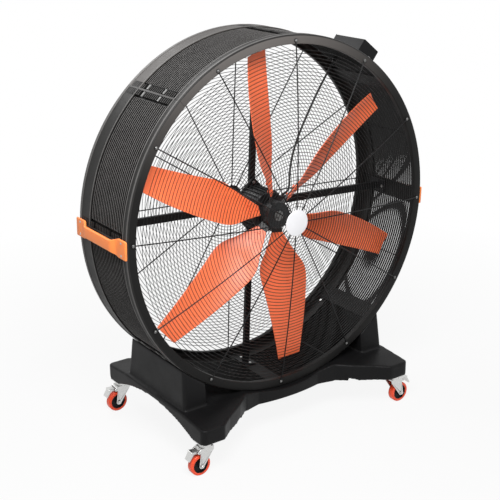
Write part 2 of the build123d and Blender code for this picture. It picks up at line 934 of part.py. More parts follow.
def side_handle(angle):
    """Grip that stands off the drum's side between a foot on each end ring."""
    foot_inner = drum_radius + seat_gap
    foot_outer = foot_inner + handle_foot
    grip_inner = drum_radius + grip_clear
    grip_outer = grip_inner + grip_thickness
    front_rise = handle_start + front_foot_length
    rear_rise = handle_end - rear_foot_length
    with BuildPart() as handle:
        with BuildSketch(radial(angle)) as profile:
            with BuildLine():
                Polyline(
                    (foot_inner, handle_start),
                    (foot_outer, handle_start),
                    (foot_outer, front_rise),
                    (grip_outer, front_rise + grip_ramp),
                    (grip_outer, rear_rise - grip_ramp),
                    (foot_outer, rear_rise),
                    (foot_outer, handle_end),
                    (foot_inner, handle_end),
                    (foot_inner, rear_rise - handle_foot),
                    (grip_inner, rear_rise - grip_ramp - handle_foot),
                    (grip_inner, front_rise + grip_ramp + handle_foot),
                    (foot_inner, front_rise + handle_foot),
                    close=True,
                )
            make_face()
        extrude(amount=handle_width, both=True)
        with BuildSketch(facing(angle, drum_radius, drum_depth / 2)) as outline:
            with BuildLine():
                Polyline(
                    (-handle_width / 2, drum_depth / 2 - handle_start),
                    (handle_width / 2, drum_depth / 2 - handle_start),
                    (handle_width / 2, drum_depth / 2 - front_rise + neck_lead),
                    (grip_width / 2, drum_depth / 2 - front_rise - grip_ramp),
                    (grip_width / 2, drum_depth / 2 - rear_rise + neck_tail),
                    (handle_width / 2, drum_depth / 2 - rear_rise),
                    (handle_width / 2, drum_depth / 2 - handle_end),
                    (-handle_width / 2, drum_depth / 2 - handle_end),
                    (-handle_width / 2, drum_depth / 2 - rear_rise),
                    (-grip_width / 2, drum_depth / 2 - rear_rise + neck_tail),
                    (-grip_width / 2, drum_depth / 2 - front_rise - grip_ramp),
                    (-handle_width / 2, drum_depth / 2 - front_rise + neck_lead),
                    close=True,
                )
            make_face()
            fillet(outline.vertices(), radius=handle_corner)
        extrude(amount=2 * (grip_clear + grip_thickness), both=True, mode=Mode.INTERSECT)
        holes = [peg(seat, screw_thread + hole_gap, screw_length) for seat in handle_seats]
        head_room = screw_thread * head_spread + hole_gap
        holes += [peg(seat.offset(handle_foot), head_room, handle_foot) for seat in handle_seats]
        add(holes, mode=Mode.SUBTRACT)
    return handle


handle_right = side_handle(handle_angles[0])
handle_left = side_handle(handle_angles[1])


# ---- Control box, its panel and its cable ----

box_end = box_start + box_length
box_floor = drum_radius + seat_gap
box_inside = box_floor + flange_thickness + box_wall
box_middle = box_floor + flange_thickness + box_height / 2
gland_inner = slat_inner - gland_reach
gland_hole = peg(
    facing(box_angle, box_inside + tip_gap, gland_depth),
    gland_radius + hole_gap,
    flange_thickness + box_wall + 2 * tip_gap,
)
flange_holes = [peg(seat, screw_thread + hole_gap, screw_length) for seat in flange_seats]


def box_rear(angle, radius, depth):
    """Plane on the box's rear end: x away from the drum, looking to the rear."""
    return Plane(origin=on_drum(angle, radius, depth), x_dir=outward(angle), z_dir=(0, 1, 0))


panel_plane = box_rear(box_angle, box_middle, box_end)
panel_outside = box_rear(box_angle, box_middle, box_end + panel_thickness)
panel_screw_x = box_height / 2 - panel_screw_inset
panel_screw_y = box_width / 2 - panel_screw_inset
panel_seats = [
    Plane(
        origin=panel_outside.from_local_coords(Vector(i * panel_screw_x, j * panel_screw_y, 0)),
        x_dir=panel_outside.x_dir,
        z_dir=panel_outside.z_dir,
    )
    for i in (-1, 1)
    for j in (-1, 1)
]
panel_holes = [peg(seat, screw_thread + hole_gap, screw_length + tip_gap) for seat in panel_seats]

with BuildPart() as control_box:
    with BuildSketch(facing(box_angle, box_floor, (box_start + box_end) / 2)):
        Rectangle(box_width, box_length)
    extrude(amount=flange_thickness + box_height)
    long_edges = control_box.edges().filter_by(Axis.Y).sort_by_distance(Vector(0, 0, hub_height))[-2:]
    fillet(long_edges, radius=box_corner)
    with BuildSketch(panel_plane):
        Rectangle(box_height - 2 * box_wall, box_width - 2 * box_wall)
    extrude(amount=box_wall - box_length, mode=Mode.SUBTRACT)
    with BuildSketch(panel_plane):
        with GridLocations(2 * panel_screw_x, 2 * panel_screw_y, 2, 2):
            Rectangle(box_post, box_post)
    extrude(amount=-box_post_length)
    with BuildSketch(facing(box_angle, box_floor, (flange_start + flange_end) / 2)):
        Rectangle(box_width, flange_end - flange_start)
    extrude(amount=flange_thickness)
    add(panel_holes + flange_holes + [gland_hole], mode=Mode.SUBTRACT)

knob_spot = (14, -24)
switch_spot = (14, 24)
mains_spot = (-18, 0)


def panel_spot(spot, height):
    """Plane at a place on the control panel, at a height over its outside."""
    origin = panel_outside.from_local_coords(Vector(*spot, height))
    return Plane(origin=origin, x_dir=panel_outside.x_dir, z_dir=panel_outside.z_dir)


with BuildPart() as control_panel:
    with BuildSketch(panel_plane):
        Rectangle(box_height, box_width)
        with Locations(switch_spot):
            Rectangle(switch_length + 2 * tip_gap, switch_width + 2 * tip_gap, mode=Mode.SUBTRACT)
        with Locations(knob_spot):
            Circle(knob_shaft + running_gap, mode=Mode.SUBTRACT)
        with Locations(mains_spot):
            Circle(gland_radius + hole_gap, mode=Mode.SUBTRACT)
    extrude(amount=panel_thickness)
    add(panel_holes, mode=Mode.SUBTRACT)

with BuildPart() as speed_knob:
    with BuildSketch(panel_spot(knob_spot, seat_gap)):
        Circle(knob_radius)
    extrude(amount=knob_length, taper=knob_taper)
    with BuildSketch(panel_spot(knob_spot, seat_gap + knob_length)):
        with Locations((knob_radius / 2, 0)):
            Rectangle(knob_radius, knob_slot)
    extrude(amount=-knob_length / 2, mode=Mode.SUBTRACT)
    with BuildSketch(panel_spot(knob_spot, seat_gap)):
        Circle(knob_shaft)
    extrude(amount=-panel_thickness - knob_tail)

switch_axis_depth = -2
with BuildPart() as switch_body:
    with BuildSketch(Plane.YZ) as rocker:
        with BuildLine():
            Polyline(
                (-switch_width / 2, switch_shoulder),
                (0, switch_crest),
                (switch_width / 2, switch_shoulder),
                (switch_width / 2 - switch_tuck, -switch_depth),
                (switch_tuck - switch_width / 2, -switch_depth),
                close=True,
            )
        make_face()
    extrude(amount=switch_length / 2, both=True)
switch_plane = panel_spot(switch_spot, switch_axis_depth)
with BuildPart() as power_switch:
    add(switch_plane.location * Rot(switch_tilt, 0, 0) * switch_body.part)

with BuildPart() as cable_glands:
    with BuildSketch(facing(box_angle, gland_inner, gland_depth)):
        Circle(gland_radius)
    extrude(amount=box_inside + seat_gap + gland_nut_length - gland_inner)
    with BuildSketch(facing(box_angle, slat_inner - seat_gap, gland_depth)):
        RegularPolygon(radius=gland_nut, side_count=6)
    extrude(amount=-gland_nut_length)
    with BuildSketch(facing(box_angle, box_inside + seat_gap, gland_depth)):
        RegularPolygon(radius=gland_nut, side_count=6)
    extrude(amount=gland_nut_length)
    with BuildSketch(motor_gland_seat):
        Circle(gland_radius)
    extrude(amount=fin_height + gland_nut_length + gland_reach)
    with BuildSketch(motor_gland_seat.offset(fin_height + seat_gap)):
        RegularPolygon(radius=gland_nut, side_count=6)
    extrude(amount=gland_nut_length)
    with BuildSketch(panel_spot(mains_spot, -panel_thickness - gland_nut_length)):
        Circle(gland_radius)
        Circle(cable_radius + cable_gap, mode=Mode.SUBTRACT)
    extrude(amount=panel_thickness + 2 * gland_nut_length + gland_reach)
    with BuildSketch(panel_spot(mains_spot, seat_gap)):
        RegularPolygon(radius=gland_nut, side_count=6)
        Circle(cable_radius + cable_gap, mode=Mode.SUBTRACT)
    extrude(amount=gland_nut_length)

with BuildPart() as panel_screws:
    add([pan_screw(seat, screw_thread, screw_length) for seat in handle_seats + flange_seats + panel_seats])

cable_start = on_drum(box_angle, gland_inner, gland_depth)
motor_gland_end = fin_height + gland_nut_length + gland_reach
cable_end = motor_gland_seat.from_local_coords(Vector(0, 0, motor_gland_end))
cable_points = [
    cable_start,
    on_drum(box_angle, gland_inner - cable_lead, gland_depth),
    Vector(398, 63, 1500),
    Vector(338, 66, 1394),
    Vector(281, 62, 1296),
    Vector(241, 51, 1212),
    Vector(214, 32, 1138),
    Vector(200, 13, 1093),
    motor_gland_seat.from_local_coords(Vector(0, 0, motor_gland_end + cable_lead)),
    cable_end,
]
runs = [after - before for before, after in zip(cable_points, cable_points[1:])]
cable_radii = [
    0.45 * min(before.length, after.length) / tan(radians(before.get_angle(after) / 2))
    for before, after in zip(runs, runs[1:])
]
with BuildPart() as motor_cable:
    with BuildLine() as route:
        FilletPolyline(*cable_points, radius=cable_radii)
    with BuildSketch(Plane(origin=route.line @ 0, z_dir=route.line % 0)):
        Circle(cable_radius)
    sweep()


# ---- Castors ----


def castor_plane(side, end):
    """Plane along the wheel's middle: x points away from the machine, y is the height."""
    return Plane(
        origin=(side * castor_x, end * castor_y, 0), x_dir=(side, 0, 0), z_dir=(0, -side, 0)
    )


fork_outer = fork_inner + fork_steel
cup_bottom = base_bottom - top_plate - cup_height
crown_bottom = fork_top - fork_crown

with BuildPart() as castor_tops:
    for side, end in castor_corners.values():
        spot = (side * castor_x, end * castor_y)
        with BuildSketch(Plane.XY.offset(base_bottom - top_plate)):
            with Locations(spot):
                RectangleRounded(plate_length_x, plate_length_y, top_plate_corner)
        extrude(amount=top_plate)
        with BuildSketch(Plane.XY.offset(cup_bottom)):
            with Locations(spot):
                Circle(cup_radius)
                Circle(cup_radius - cup_wall, mode=Mode.SUBTRACT)
        extrude(amount=cup_height)
        with BuildSketch(Plane.XY.offset(crown_bottom - seat_gap - kingpin_head_height)):
            with Locations(spot):
                Circle(kingpin_head)
        extrude(amount=kingpin_head_height)
        with BuildSketch(Plane.XY.offset(crown_bottom - seat_gap)):
            with Locations(spot):
                Circle(kingpin_radius)
        extrude(amount=base_bottom - top_plate - crown_bottom + seat_gap)
    add(castor_holes, mode=Mode.SUBTRACT)


def castor_fork(side, end):
    """Pressed fork with its swivel collar, raked back to the axle."""
    middle = castor_plane(side, end)
    with BuildPart() as fork:
        with BuildSketch(middle):
            with Locations((crown_middle, fork_top - crown_height / 2)):
                Rectangle(crown_length, crown_height)
            with Locations((castor_trail, wheel_radius)):
                Circle(axle_eye)
            make_hull()
            with BuildSketch(middle, mode=Mode.ADD) as ear:
                with Locations((pedal_pivot_x, pedal_pivot_z)):
                    Circle(pedal_barrel + ear_edge)
                with Locations((ear_root, fork_top - crown_height / 2)):
                    Rectangle(ear_root, crown_height)
                make_hull()
        extrude(amount=fork_outer, both=True)
        with BuildSketch(middle):
            with Locations((0, crown_bottom / 2)):
                Rectangle(4 * wheel_radius, crown_bottom)
        extrude(amount=fork_inner, both=True, mode=Mode.SUBTRACT)
        with BuildSketch(Plane.XY.offset(fork_top)):
            with Locations((side * castor_x, end * castor_y)):
                Circle(collar_radius)
        extrude(amount=cup_bottom - seat_gap - fork_top)
        with BuildSketch(Plane.XY.offset(crown_bottom)):
            with Locations((side * castor_x, end * castor_y)):
                Circle(kingpin_radius + running_gap)
        extrude(amount=base_bottom, mode=Mode.SUBTRACT)
        with BuildSketch(middle):
            with Locations((castor_trail, wheel_radius)):
                Circle(axle_radius + running_gap)
            with Locations((pedal_pivot_x, pedal_pivot_z)):
                Circle(pedal_pin + running_gap)
        extrude(amount=2 * fork_outer, both=True, mode=Mode.SUBTRACT)
    return fork


def castor_axle(side, end):
    """Axle bolt with its head and nut outside the fork."""
    middle = castor_plane(side, end)
    with BuildPart() as axle:
        with BuildSketch(middle):
            with Locations((castor_trail, wheel_radius)):
                Circle(axle_radius)
        extrude(amount=fork_outer + axle_end, both=True)
        for face in (1, -1):
            with BuildSketch(middle.offset(face * (fork_outer + seat_gap))):
                with Locations((castor_trail, wheel_radius)):
                    RegularPolygon(radius=axle_radius * head_spread, side_count=6)
            extrude(amount=face * axle_radius * head_rise)
    return axle


def castor_wheel(side, end):
    """Wheel core with its hub, web and rim."""
    middle = castor_plane(side, end)
    hub_half = fork_inner - seat_gap
    with BuildPart() as wheel:
        for radius, hole, half in (
            (core_hub_radius, 0, hub_half),
            (core_rim_radius, 0, core_web / 2),
            (core_rim_radius, core_rim_radius - core_rim, core_rim_width / 2),
        ):
            with BuildSketch(middle):
                with Locations((castor_trail, wheel_radius)):
                    Circle(radius)
                    if hole:
                        Circle(hole, mode=Mode.SUBTRACT)
            extrude(amount=half, both=True)
        with BuildSketch(middle):
            with Locations((castor_trail, wheel_radius)):
                Circle(axle_radius + running_gap)
        extrude(amount=fork_outer, both=True, mode=Mode.SUBTRACT)
    return wheel


def castor_tyre(side, end):
    """Tread with rounded shoulders, bonded round the wheel core."""
    with BuildPart() as tyre:
        with BuildSketch(castor_plane(side, end)):
            with Locations((castor_trail, wheel_radius)):
                Circle(wheel_radius)
        extrude(amount=tread_width / 2, both=True)
        fillet(tyre.edges().filter_by(GeomType.CIRCLE), radius=tread_corner)
        with BuildSketch(castor_plane(side, end)):
            with Locations((castor_trail, wheel_radius)):
                Circle(core_rim_radius + running_gap)
        extrude(amount=tread_width, both=True, mode=Mode.SUBTRACT)
    return tyre


def brake_pedal(side, end):
    """Two-lobed brake lever on its pivot pin, behind the wheel."""
    middle = castor_plane(side, end)
    with BuildPart() as pedal:
        with BuildSketch(middle):
            with Locations((pedal_pivot_x, pedal_pivot_z)):
                Circle(pedal_barrel)
            with BuildLine():
                Polyline(
                    (pedal_pivot_x, pedal_pivot_z + pedal_barrel),
                    pedal_heel,
                    pedal_nose,
                    pedal_notch,
                    pedal_tip,
                    pedal_tip_under,
                    pedal_knee,
                    (pedal_pivot_x, pedal_pivot_z - pedal_barrel),
                    close=True,
                )
            make_face()
        extrude(amount=pedal_width / 2, both=True)
        with BuildSketch(middle):
            with Locations((pedal_pivot_x, pedal_pivot_z)):
                Circle(pedal_pin)
        extrude(amount=fork_outer + 2 * tip_gap, both=True)
    return pedal


castor_makers = {
    "castor_fork": castor_fork,
    "castor_axle": castor_axle,
    "castor_wheel": castor_wheel,
    "castor_tyre": castor_tyre,
    "brake_pedal": brake_pedal,
}
castor_pieces = {
    f"{kind}_{corner}": make(side, end)
    for kind, make in castor_makers.items()
    for corner, (side, end) in castor_corners.items()
}

frame_seats = castor_seats + cradle_seats + bar_seats + plate_seats + motor_seats
with BuildPart() as frame_bolts:
    add([hex_bolt(seat, frame_thread, frame_bolt_length) for seat in frame_seats])


pieces = {
    "base": base,
    "front_ring": front_ring,
    "rear_ring": rear_ring,
    "drum_struts": drum_struts,
    "side_grilles": side_grilles,
    "seam_clips": seam_clips,
    "front_guard": front_guard,
    "rear_guard": rear_guard,
    "guard_screws": guard_screws,
    "centre_disc": centre_disc,
    "support_upright": support_upright,
    "support_crossbars": support_crossbars,
    "motor_plate": motor_plate,
    "motor_housing": motor_housing,
    "motor_cover": motor_cover,
    "motor_bearings": motor_bearings,
    "motor_stator": motor_stator,
    "motor_core": motor_core,
    "motor_shaft": motor_shaft,
    "fan_hub": fan_hub,
    "blade_bolts": blade_bolts,
    "hub_bolt": hub_bolt,
    "handle_right": handle_right,
    "handle_left": handle_left,
    "control_box": control_box,
    "control_panel": control_panel,
    "speed_knob": speed_knob,
    "power_switch": power_switch,
    "cable_glands": cable_glands,
    "panel_screws": panel_screws,
    "motor_cable": motor_cable,
    "castor_tops": castor_tops,
    "frame_bolts": frame_bolts,
} | fan_blades | castor_pieces

os.makedirs("parts", exist_ok=True)
for name, piece in pieces.items():
    piece.part.label = name
    export_step(piece.part, f"parts/{name}.step")
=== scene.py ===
"""Finishes and fine shapes of a drum fan, laid out as a Blender add-on and run as a script."""

import math

import bmesh
import bpy
from mathutils import Matrix, Vector


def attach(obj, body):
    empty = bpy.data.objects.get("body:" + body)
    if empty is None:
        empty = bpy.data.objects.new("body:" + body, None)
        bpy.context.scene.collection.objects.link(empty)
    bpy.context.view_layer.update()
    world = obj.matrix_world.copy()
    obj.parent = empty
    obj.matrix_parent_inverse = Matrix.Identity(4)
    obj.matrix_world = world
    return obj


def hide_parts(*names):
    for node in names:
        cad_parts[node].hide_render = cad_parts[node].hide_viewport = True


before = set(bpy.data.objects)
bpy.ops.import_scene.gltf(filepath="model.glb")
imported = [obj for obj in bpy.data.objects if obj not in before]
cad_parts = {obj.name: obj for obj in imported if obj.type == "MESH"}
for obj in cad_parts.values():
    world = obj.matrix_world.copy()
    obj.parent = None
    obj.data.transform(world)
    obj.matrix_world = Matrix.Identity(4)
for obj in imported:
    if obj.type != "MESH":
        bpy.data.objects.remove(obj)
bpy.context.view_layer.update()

bl_info = {
    "name": "Drum fan",
    "version": (1, 0, 0),
    "blender": (4, 5, 0),
    "location": "View3D > Sidebar > Drum fan",
    "description": "Builds the pieces and finishes of a drum fan on a wheeled base",
    "category": "Object",
}

# Drum, in metres and degrees: depths are behind its front face, angles turn with it
HUB_HEIGHT = 1.027
DRUM_FRONT = -0.236
DRUM_DEPTH = 0.436
DRUM_RADIUS = 0.820
DRUM_TURN = -2.8
MOUTH_RADIUS = 0.778
BAND_INNER = 0.814
RING_WALL = 0.006
RING_LIP = 0.024
FRONT_BAND = 0.044
REAR_BAND = 0.111
BAND_SINK = 0.0018
BEAD_WIDTH = 0.006
BEAD_SLOPE = 0.0022
SLAT_INNER = 0.8033
SLAT_OUTER = 0.8136
SLAT_COUNT = 20
SLAT_THICKNESS = 0.003
PANEL_START = 0.041
PANEL_END = 0.339
RAIL_WIDTH = 0.006
RIB_WIDTH = 0.004
STRUT_COUNT = 8
STRUT_START = 0.030
STRUT_INNER = 0.8015
STRUT_FLOOR = 0.8065
COMB_START = 0.060
COMB_END = 0.388
COMB_REACH = 0.030
COMB_TOP = 0.8192
COMB_FLOOR_REAR = 0.817
JOINT_HALF = 2.75
JOINT_REACH = 0.040
SEAM_BAR_WIDTH = 0.008
SEAM_BAR_RISE = 0.0008
SEAM_BAR_END = 0.404
CLIP_DEPTHS = (0.135, 0.265)
CLIP_WIDTH = 0.010
CLIP_LENGTH = 0.024
CLIP_SPREAD = 0.020
CLIP_SINK = 0.001
CLIP_RISE = 0.0022
CLIP_CLEARANCE = 0.006
RING_LENGTHS = 4
SEAM_GAP = 0.0008

# Base: the rims of its beams stand out by as much as a bow and a flare differ, which is 17 mm in the middle,
# nothing at 176 mm from there and 18 mm where they meet the feet. It fades from the rims inward.
BEAM_HALF = 0.252
BEAM_BOW = 0.035
BEAM_FADE_START = 0.17
BEAM_FADE = 0.07
BEAM_FLARE = 0.018
FLARE_END = 0.43
FLARE_FADE = 0.10

# Guards
STAY_COUNT = 12
PLATE_RADIUS = 0.057
PLATE_BORE = 0.004
PLATE_HALF = 0.002
EYELET_RADIUS = 0.010
EYELET_THICKNESS = 0.004
SCREW_HEAD_RADIUS = 0.0056
SCREW_HEAD_RISE = 0.0039
FRONT_GUARD_REACH = 0.793
FRONT_GUARD_RISE = 0.060
REAR_GUARD_REACH = 0.787
REAR_GUARD_RISE = 0.007
WIRE_LAP = 0.0018
WASHER_LIP = 0.0018
WASHER_THICKNESS = 0.001
DISC_RADIUS = 0.060
DISC_RIM = 0.004
DISC_CROWN = 0.003

# Rotor: a blade has a flat root up to its seat, a shoulder, and tapers from its belly to its tip
ROTOR_DEPTH = 0.100
ROTOR_ANGLE = 39.3
BLADE_COUNT = 6
BLADE_ROOT = 0.092
BLADE_SEAT = 0.190
BLADE_BELLY = 0.330
BLADE_TIP = 0.742
BLADE_CHORDS = (
    (BLADE_ROOT, 0.052),
    (BLADE_SEAT, 0.138),
    (0.260, 0.204),
    (BLADE_BELLY, 0.212),
    (BLADE_TIP, 0.113),
)
ROOT_PITCH = 45.0
TIP_PITCH = 12.0
TIP_LEAD = -0.030
CAMBER = 0.05

# Handles
HANDLE_ANGLES = (0.4, 181.4)
HANDLE_SCREW_DEPTHS = (0.037, 0.398)
HANDLE_SCREW_SPREAD = 0.027
HANDLE_SEAT = 0.0058
HANDLE_BORE = 0.0060

# Control box and its cable
BOX_ANGLE = 54.5
GLAND_DEPTH = 0.285
GLAND_INNER = 0.7901
CABLE_RADIUS = 0.005
CABLE_LEAD = 0.052
MOTOR_GLAND_ANGLE = 16.8
MOTOR_GLAND_DEPTH = 0.225
MOTOR_GLAND_END = 0.121

# Camera, with its angles in degrees
CAMERA_PLACE = (-2.7718, -3.8456, 2.4940)
CAMERA_YAW = -35.3705
CAMERA_PITCH = 19.5044
CAMERA_ROLL = -0.4963
SENSOR_WIDTH = 36

# Floor: it glows white but for a share of its paint near the fan, between two distances
FLOOR_GLOW = 0.90
FLOOR_NEAR = 1.2
FLOOR_FAR = 3.2

# Painted light on the rings: its pale tone, its share on the front ring's face, and the angle where it is
# strongest
PAINTED_LIGHT_TONE = (0.30, 0.275, 0.26)
FACE_PAINTED_LIGHT = 0.30
FACE_PAINTED_LIGHT_ANGLE = 102

CORNERS = ("front_left", "front_right", "rear_left", "rear_right")


# ---- Places in the drum ----


def outward(angle):
    """Unit vector away from the drum's axis, at an angle in the turned drum."""
    swing = math.radians(angle + DRUM_TURN)
    return Vector((math.cos(swing), 0.0, math.sin(swing)))


def around(angle):
    """Unit vector round the drum's axis, counterclockwise as seen from the front."""
    swing = math.radians(angle + DRUM_TURN)
    return Vector((-math.sin(swing), 0.0, math.cos(swing)))


def on_drum(angle, radius, depth):
    """Point in the drum, with its depth behind the front face."""
    return Vector((0.0, DRUM_FRONT + depth, HUB_HEIGHT)) + outward(angle) * radius


# ---- Mesh tools ----


def rounded(points, radii, steps=5):
    """Closed outline whose corners are rounded, one radius for each corner."""
    outline = []
    count = len(points)
    for k, (spot, radius) in enumerate(zip(points, radii)):
        corner = Vector(spot)
        before = (Vector(points[k - 1]) - corner).normalized()
        after = (Vector(points[(k + 1) % count]) - corner).normalized()
        half = before.angle(after) / 2
        if radius <= 0 or abs(half - math.pi / 2) < 0.001:
            outline.append(tuple(corner))
            continue
        reach = radius / math.tan(half)
        centre = corner + (before + after).normalized() * radius / math.sin(half)
        start = corner + before * reach - centre
        end = corner + after * reach - centre
        turn = start.angle_signed(end)
        for step in range(steps + 1):
            share = -turn * step / steps
            cosine, sine = math.cos(share), math.sin(share)
            arm = Vector((start.x * cosine - start.y * sine, start.x * sine + start.y * cosine))
            outline.append(tuple(centre + arm))
    return outline


def join_loops(bm, loops, closed_path=False):
    """Skins neighbouring closed loops with faces, and closes the ends of an open path."""
    rows = [[bm.verts.new(spot) for spot in loop] for loop in loops]
    size = len(rows[0])
    for k in range(len(rows) if closed_path else len(rows) - 1):
        here, there = rows[k], rows[(k + 1) % len(rows)]
        for i in range(size):
            j = (i + 1) % size
            bm.faces.new((here[i], here[j], there[j], there[i]))
    if not closed_path:
        bm.faces.new(rows[0][::-1])
        bm.faces.new(rows[-1])


def lathe(bm, profile, start=0.0, sweep=360.0, steps=96):
    """Turns a closed profile of radius and depth round the drum's axis."""
    whole = abs(sweep) >= 360
    stops = steps if whole else steps + 1
    loops = []
    for k in range(stops):
        angle = start + sweep * k / steps
        loops.append([on_drum(angle, radius, depth) for radius, depth in profile])
    join_loops(bm, loops, closed_path=whole)


def circle(radius, sides, centre=(0.0, 0.0)):
    """Points round a circle in a plane."""
    spots = []
    for k in range(sides):
        turn = 2 * math.pi * k / sides
        spots.append((centre[0] + radius * math.cos(turn), centre[1] + radius * math.sin(turn)))
    return spots


def upright(axis):
    """Two unit vectors square to an axis and to each other."""
    axis = Vector(axis).normalized()
    side = axis.orthogonal().normalized()
    return side, axis.cross(side)


def turned(bm, origin, axis, profile, steps=24):
    """Turns radius and height pairs round an axis through the origin, closed at both ends."""
    side, other = upright(axis)
    axis = Vector(axis).normalized()
    loops = []
    for radius, height in profile:
        loop = []
        for x, y in circle(max(radius, 0.00002), steps):
            loop.append(Vector(origin) + axis * height + side * x + other * y)
        loops.append(loop)
    join_loops(bm, loops)


def tube(bm, points, radius, closed=False):
    """Round bar that follows the points."""
    points = [Vector(spot) for spot in points]
    count = len(points)
    loops = []
    normal = None
    for k, spot in enumerate(points):
        if closed:
            run = points[(k + 1) % count] - points[k - 1]
        else:
            run = points[min(k + 1, count - 1)] - points[max(k - 1, 0)]
        run.normalize()
        normal = upright(run)[0] if normal is None else (normal - run * normal.dot(run)).normalized()
        other = run.cross(normal)
        loops.append([spot + normal * x + other * y for x, y in circle(radius, 8)])
    join_loops(bm, loops, closed_path=closed)


def pan_head(bm, seat, axis, radius, rise):
    """Domed screw head with a round recess, standing on its seat."""
    profile = [
        (radius * 0.98, -0.0002),
        (radius, rise * 0.2),
        (radius * 0.97, rise * 0.5),
        (radius * 0.86, rise * 0.78),
        (radius * 0.66, rise * 0.95),
        (radius * 0.48, rise),
        (radius * 0.42, rise * 0.98),
        (radius * 0.40, rise * 0.45),
    ]
    turned(bm, seat, axis, profile, 24)


def washer(bm, seat, axis, radius, thickness):
    """Flat washer with softened edges, on its seat."""
    soft = thickness * 0.3
    turned(
        bm,
        seat,
        axis,
        [(radius - soft, 0), (radius, soft), (radius, thickness - soft), (radius - soft, thickness)],
        32,
    )


def as_mesh(name, bm):
    """Stores a mesh in progress under a name."""
    mesh = bpy.data.meshes.new(name)
    bm.to_mesh(mesh)
    bm.free()
    return mesh


def as_object(name, bm):
    """Turns a mesh in progress into an object in the scene."""
    form = bpy.data.objects.new(name, as_mesh(name, bm))
    bpy.context.scene.collection.objects.link(form)
    return form


def finished_mesh(form):
    """Copy of an object's mesh with its modifiers applied."""
    return bpy.data.meshes.new_from_object(
        form.evaluated_get(bpy.context.evaluated_depsgraph_get())
    )


def make_piece(name, bm, finish, body, nodes, sharp=35.0):
    """Turns a mesh in progress into a piece that stands for CAD nodes and rides on a body."""
    bmesh.ops.recalc_face_normals(bm, faces=bm.faces)
    place_mesh(name, as_mesh(name, bm), finish, body, nodes, sharp)


def place_mesh(name, mesh, finish, body, nodes, sharp=35.0):
    """Shows a mesh as a piece with a finish, smooth but for its sharp edges."""
    mesh.materials.clear()
    mesh.materials.append(finish)
    for face in mesh.polygons:
        face.use_smooth = True
        face.material_index = 0
    mesh.set_sharp_from_angle(angle=math.radians(sharp))
    piece = bpy.data.objects.new(name, mesh)
    bpy.context.scene.collection.objects.link(piece)
    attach(piece, body)
    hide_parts(*nodes)


def dress(node, finish, soften=0.0):
    """Gives a CAD node its finish, and on request rounds its sharp edges with a modifier."""
    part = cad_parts[node]
    if not part.data.materials:
        part.data.materials.append(finish)
    for slot in part.material_slots:
        slot.material = finish
    weld = part.modifiers.new("weld", "WELD")
    weld.merge_threshold = 0.00002
    if soften:
        bevel = part.modifiers.new("soft_edges", "BEVEL")
        bevel.width = soften
        bevel.segments = 2
        bevel.limit_method = "ANGLE"
        bevel.angle_limit = math.radians(40)
        bevel.use_clamp_overlap = False
        bevel.harden_normals = True


# ---- Finishes ----


class Value:
    """An output in a shader that takes part in sums and products."""

    def __init__(self, finish, socket):
        self.finish = finish
        self.socket = socket

    def maths(self, operation, first, second):
        return self.finish.node("ShaderNodeMath", {"operation": operation}, {0: first, 1: second})

    def __add__(self, other):
        return self.maths("ADD", self, other)

    def __radd__(self, other):
        return self.maths("ADD", other, self)

    def __sub__(self, other):
        return self.maths("SUBTRACT", self, other)

    def __rsub__(self, other):
        return self.maths("SUBTRACT", other, self)

    def __mul__(self, other):
        return self.maths("MULTIPLY", self, other)

    def __rmul__(self, other):
        return self.maths("MULTIPLY", other, self)

    def __truediv__(self, other):
        return self.maths("DIVIDE", self, other)

    def __rtruediv__(self, other):
        return self.maths("DIVIDE", other, self)

    def __pow__(self, other):
        return self.maths("POWER", self, other)

    def __rpow__(self, other):
        return self.maths("POWER", other, self)

    def __gt__(self, other):
        return self.maths("GREATER_THAN", self, other)

    def __lt__(self, other):
        return self.maths("LESS_THAN", self, other)


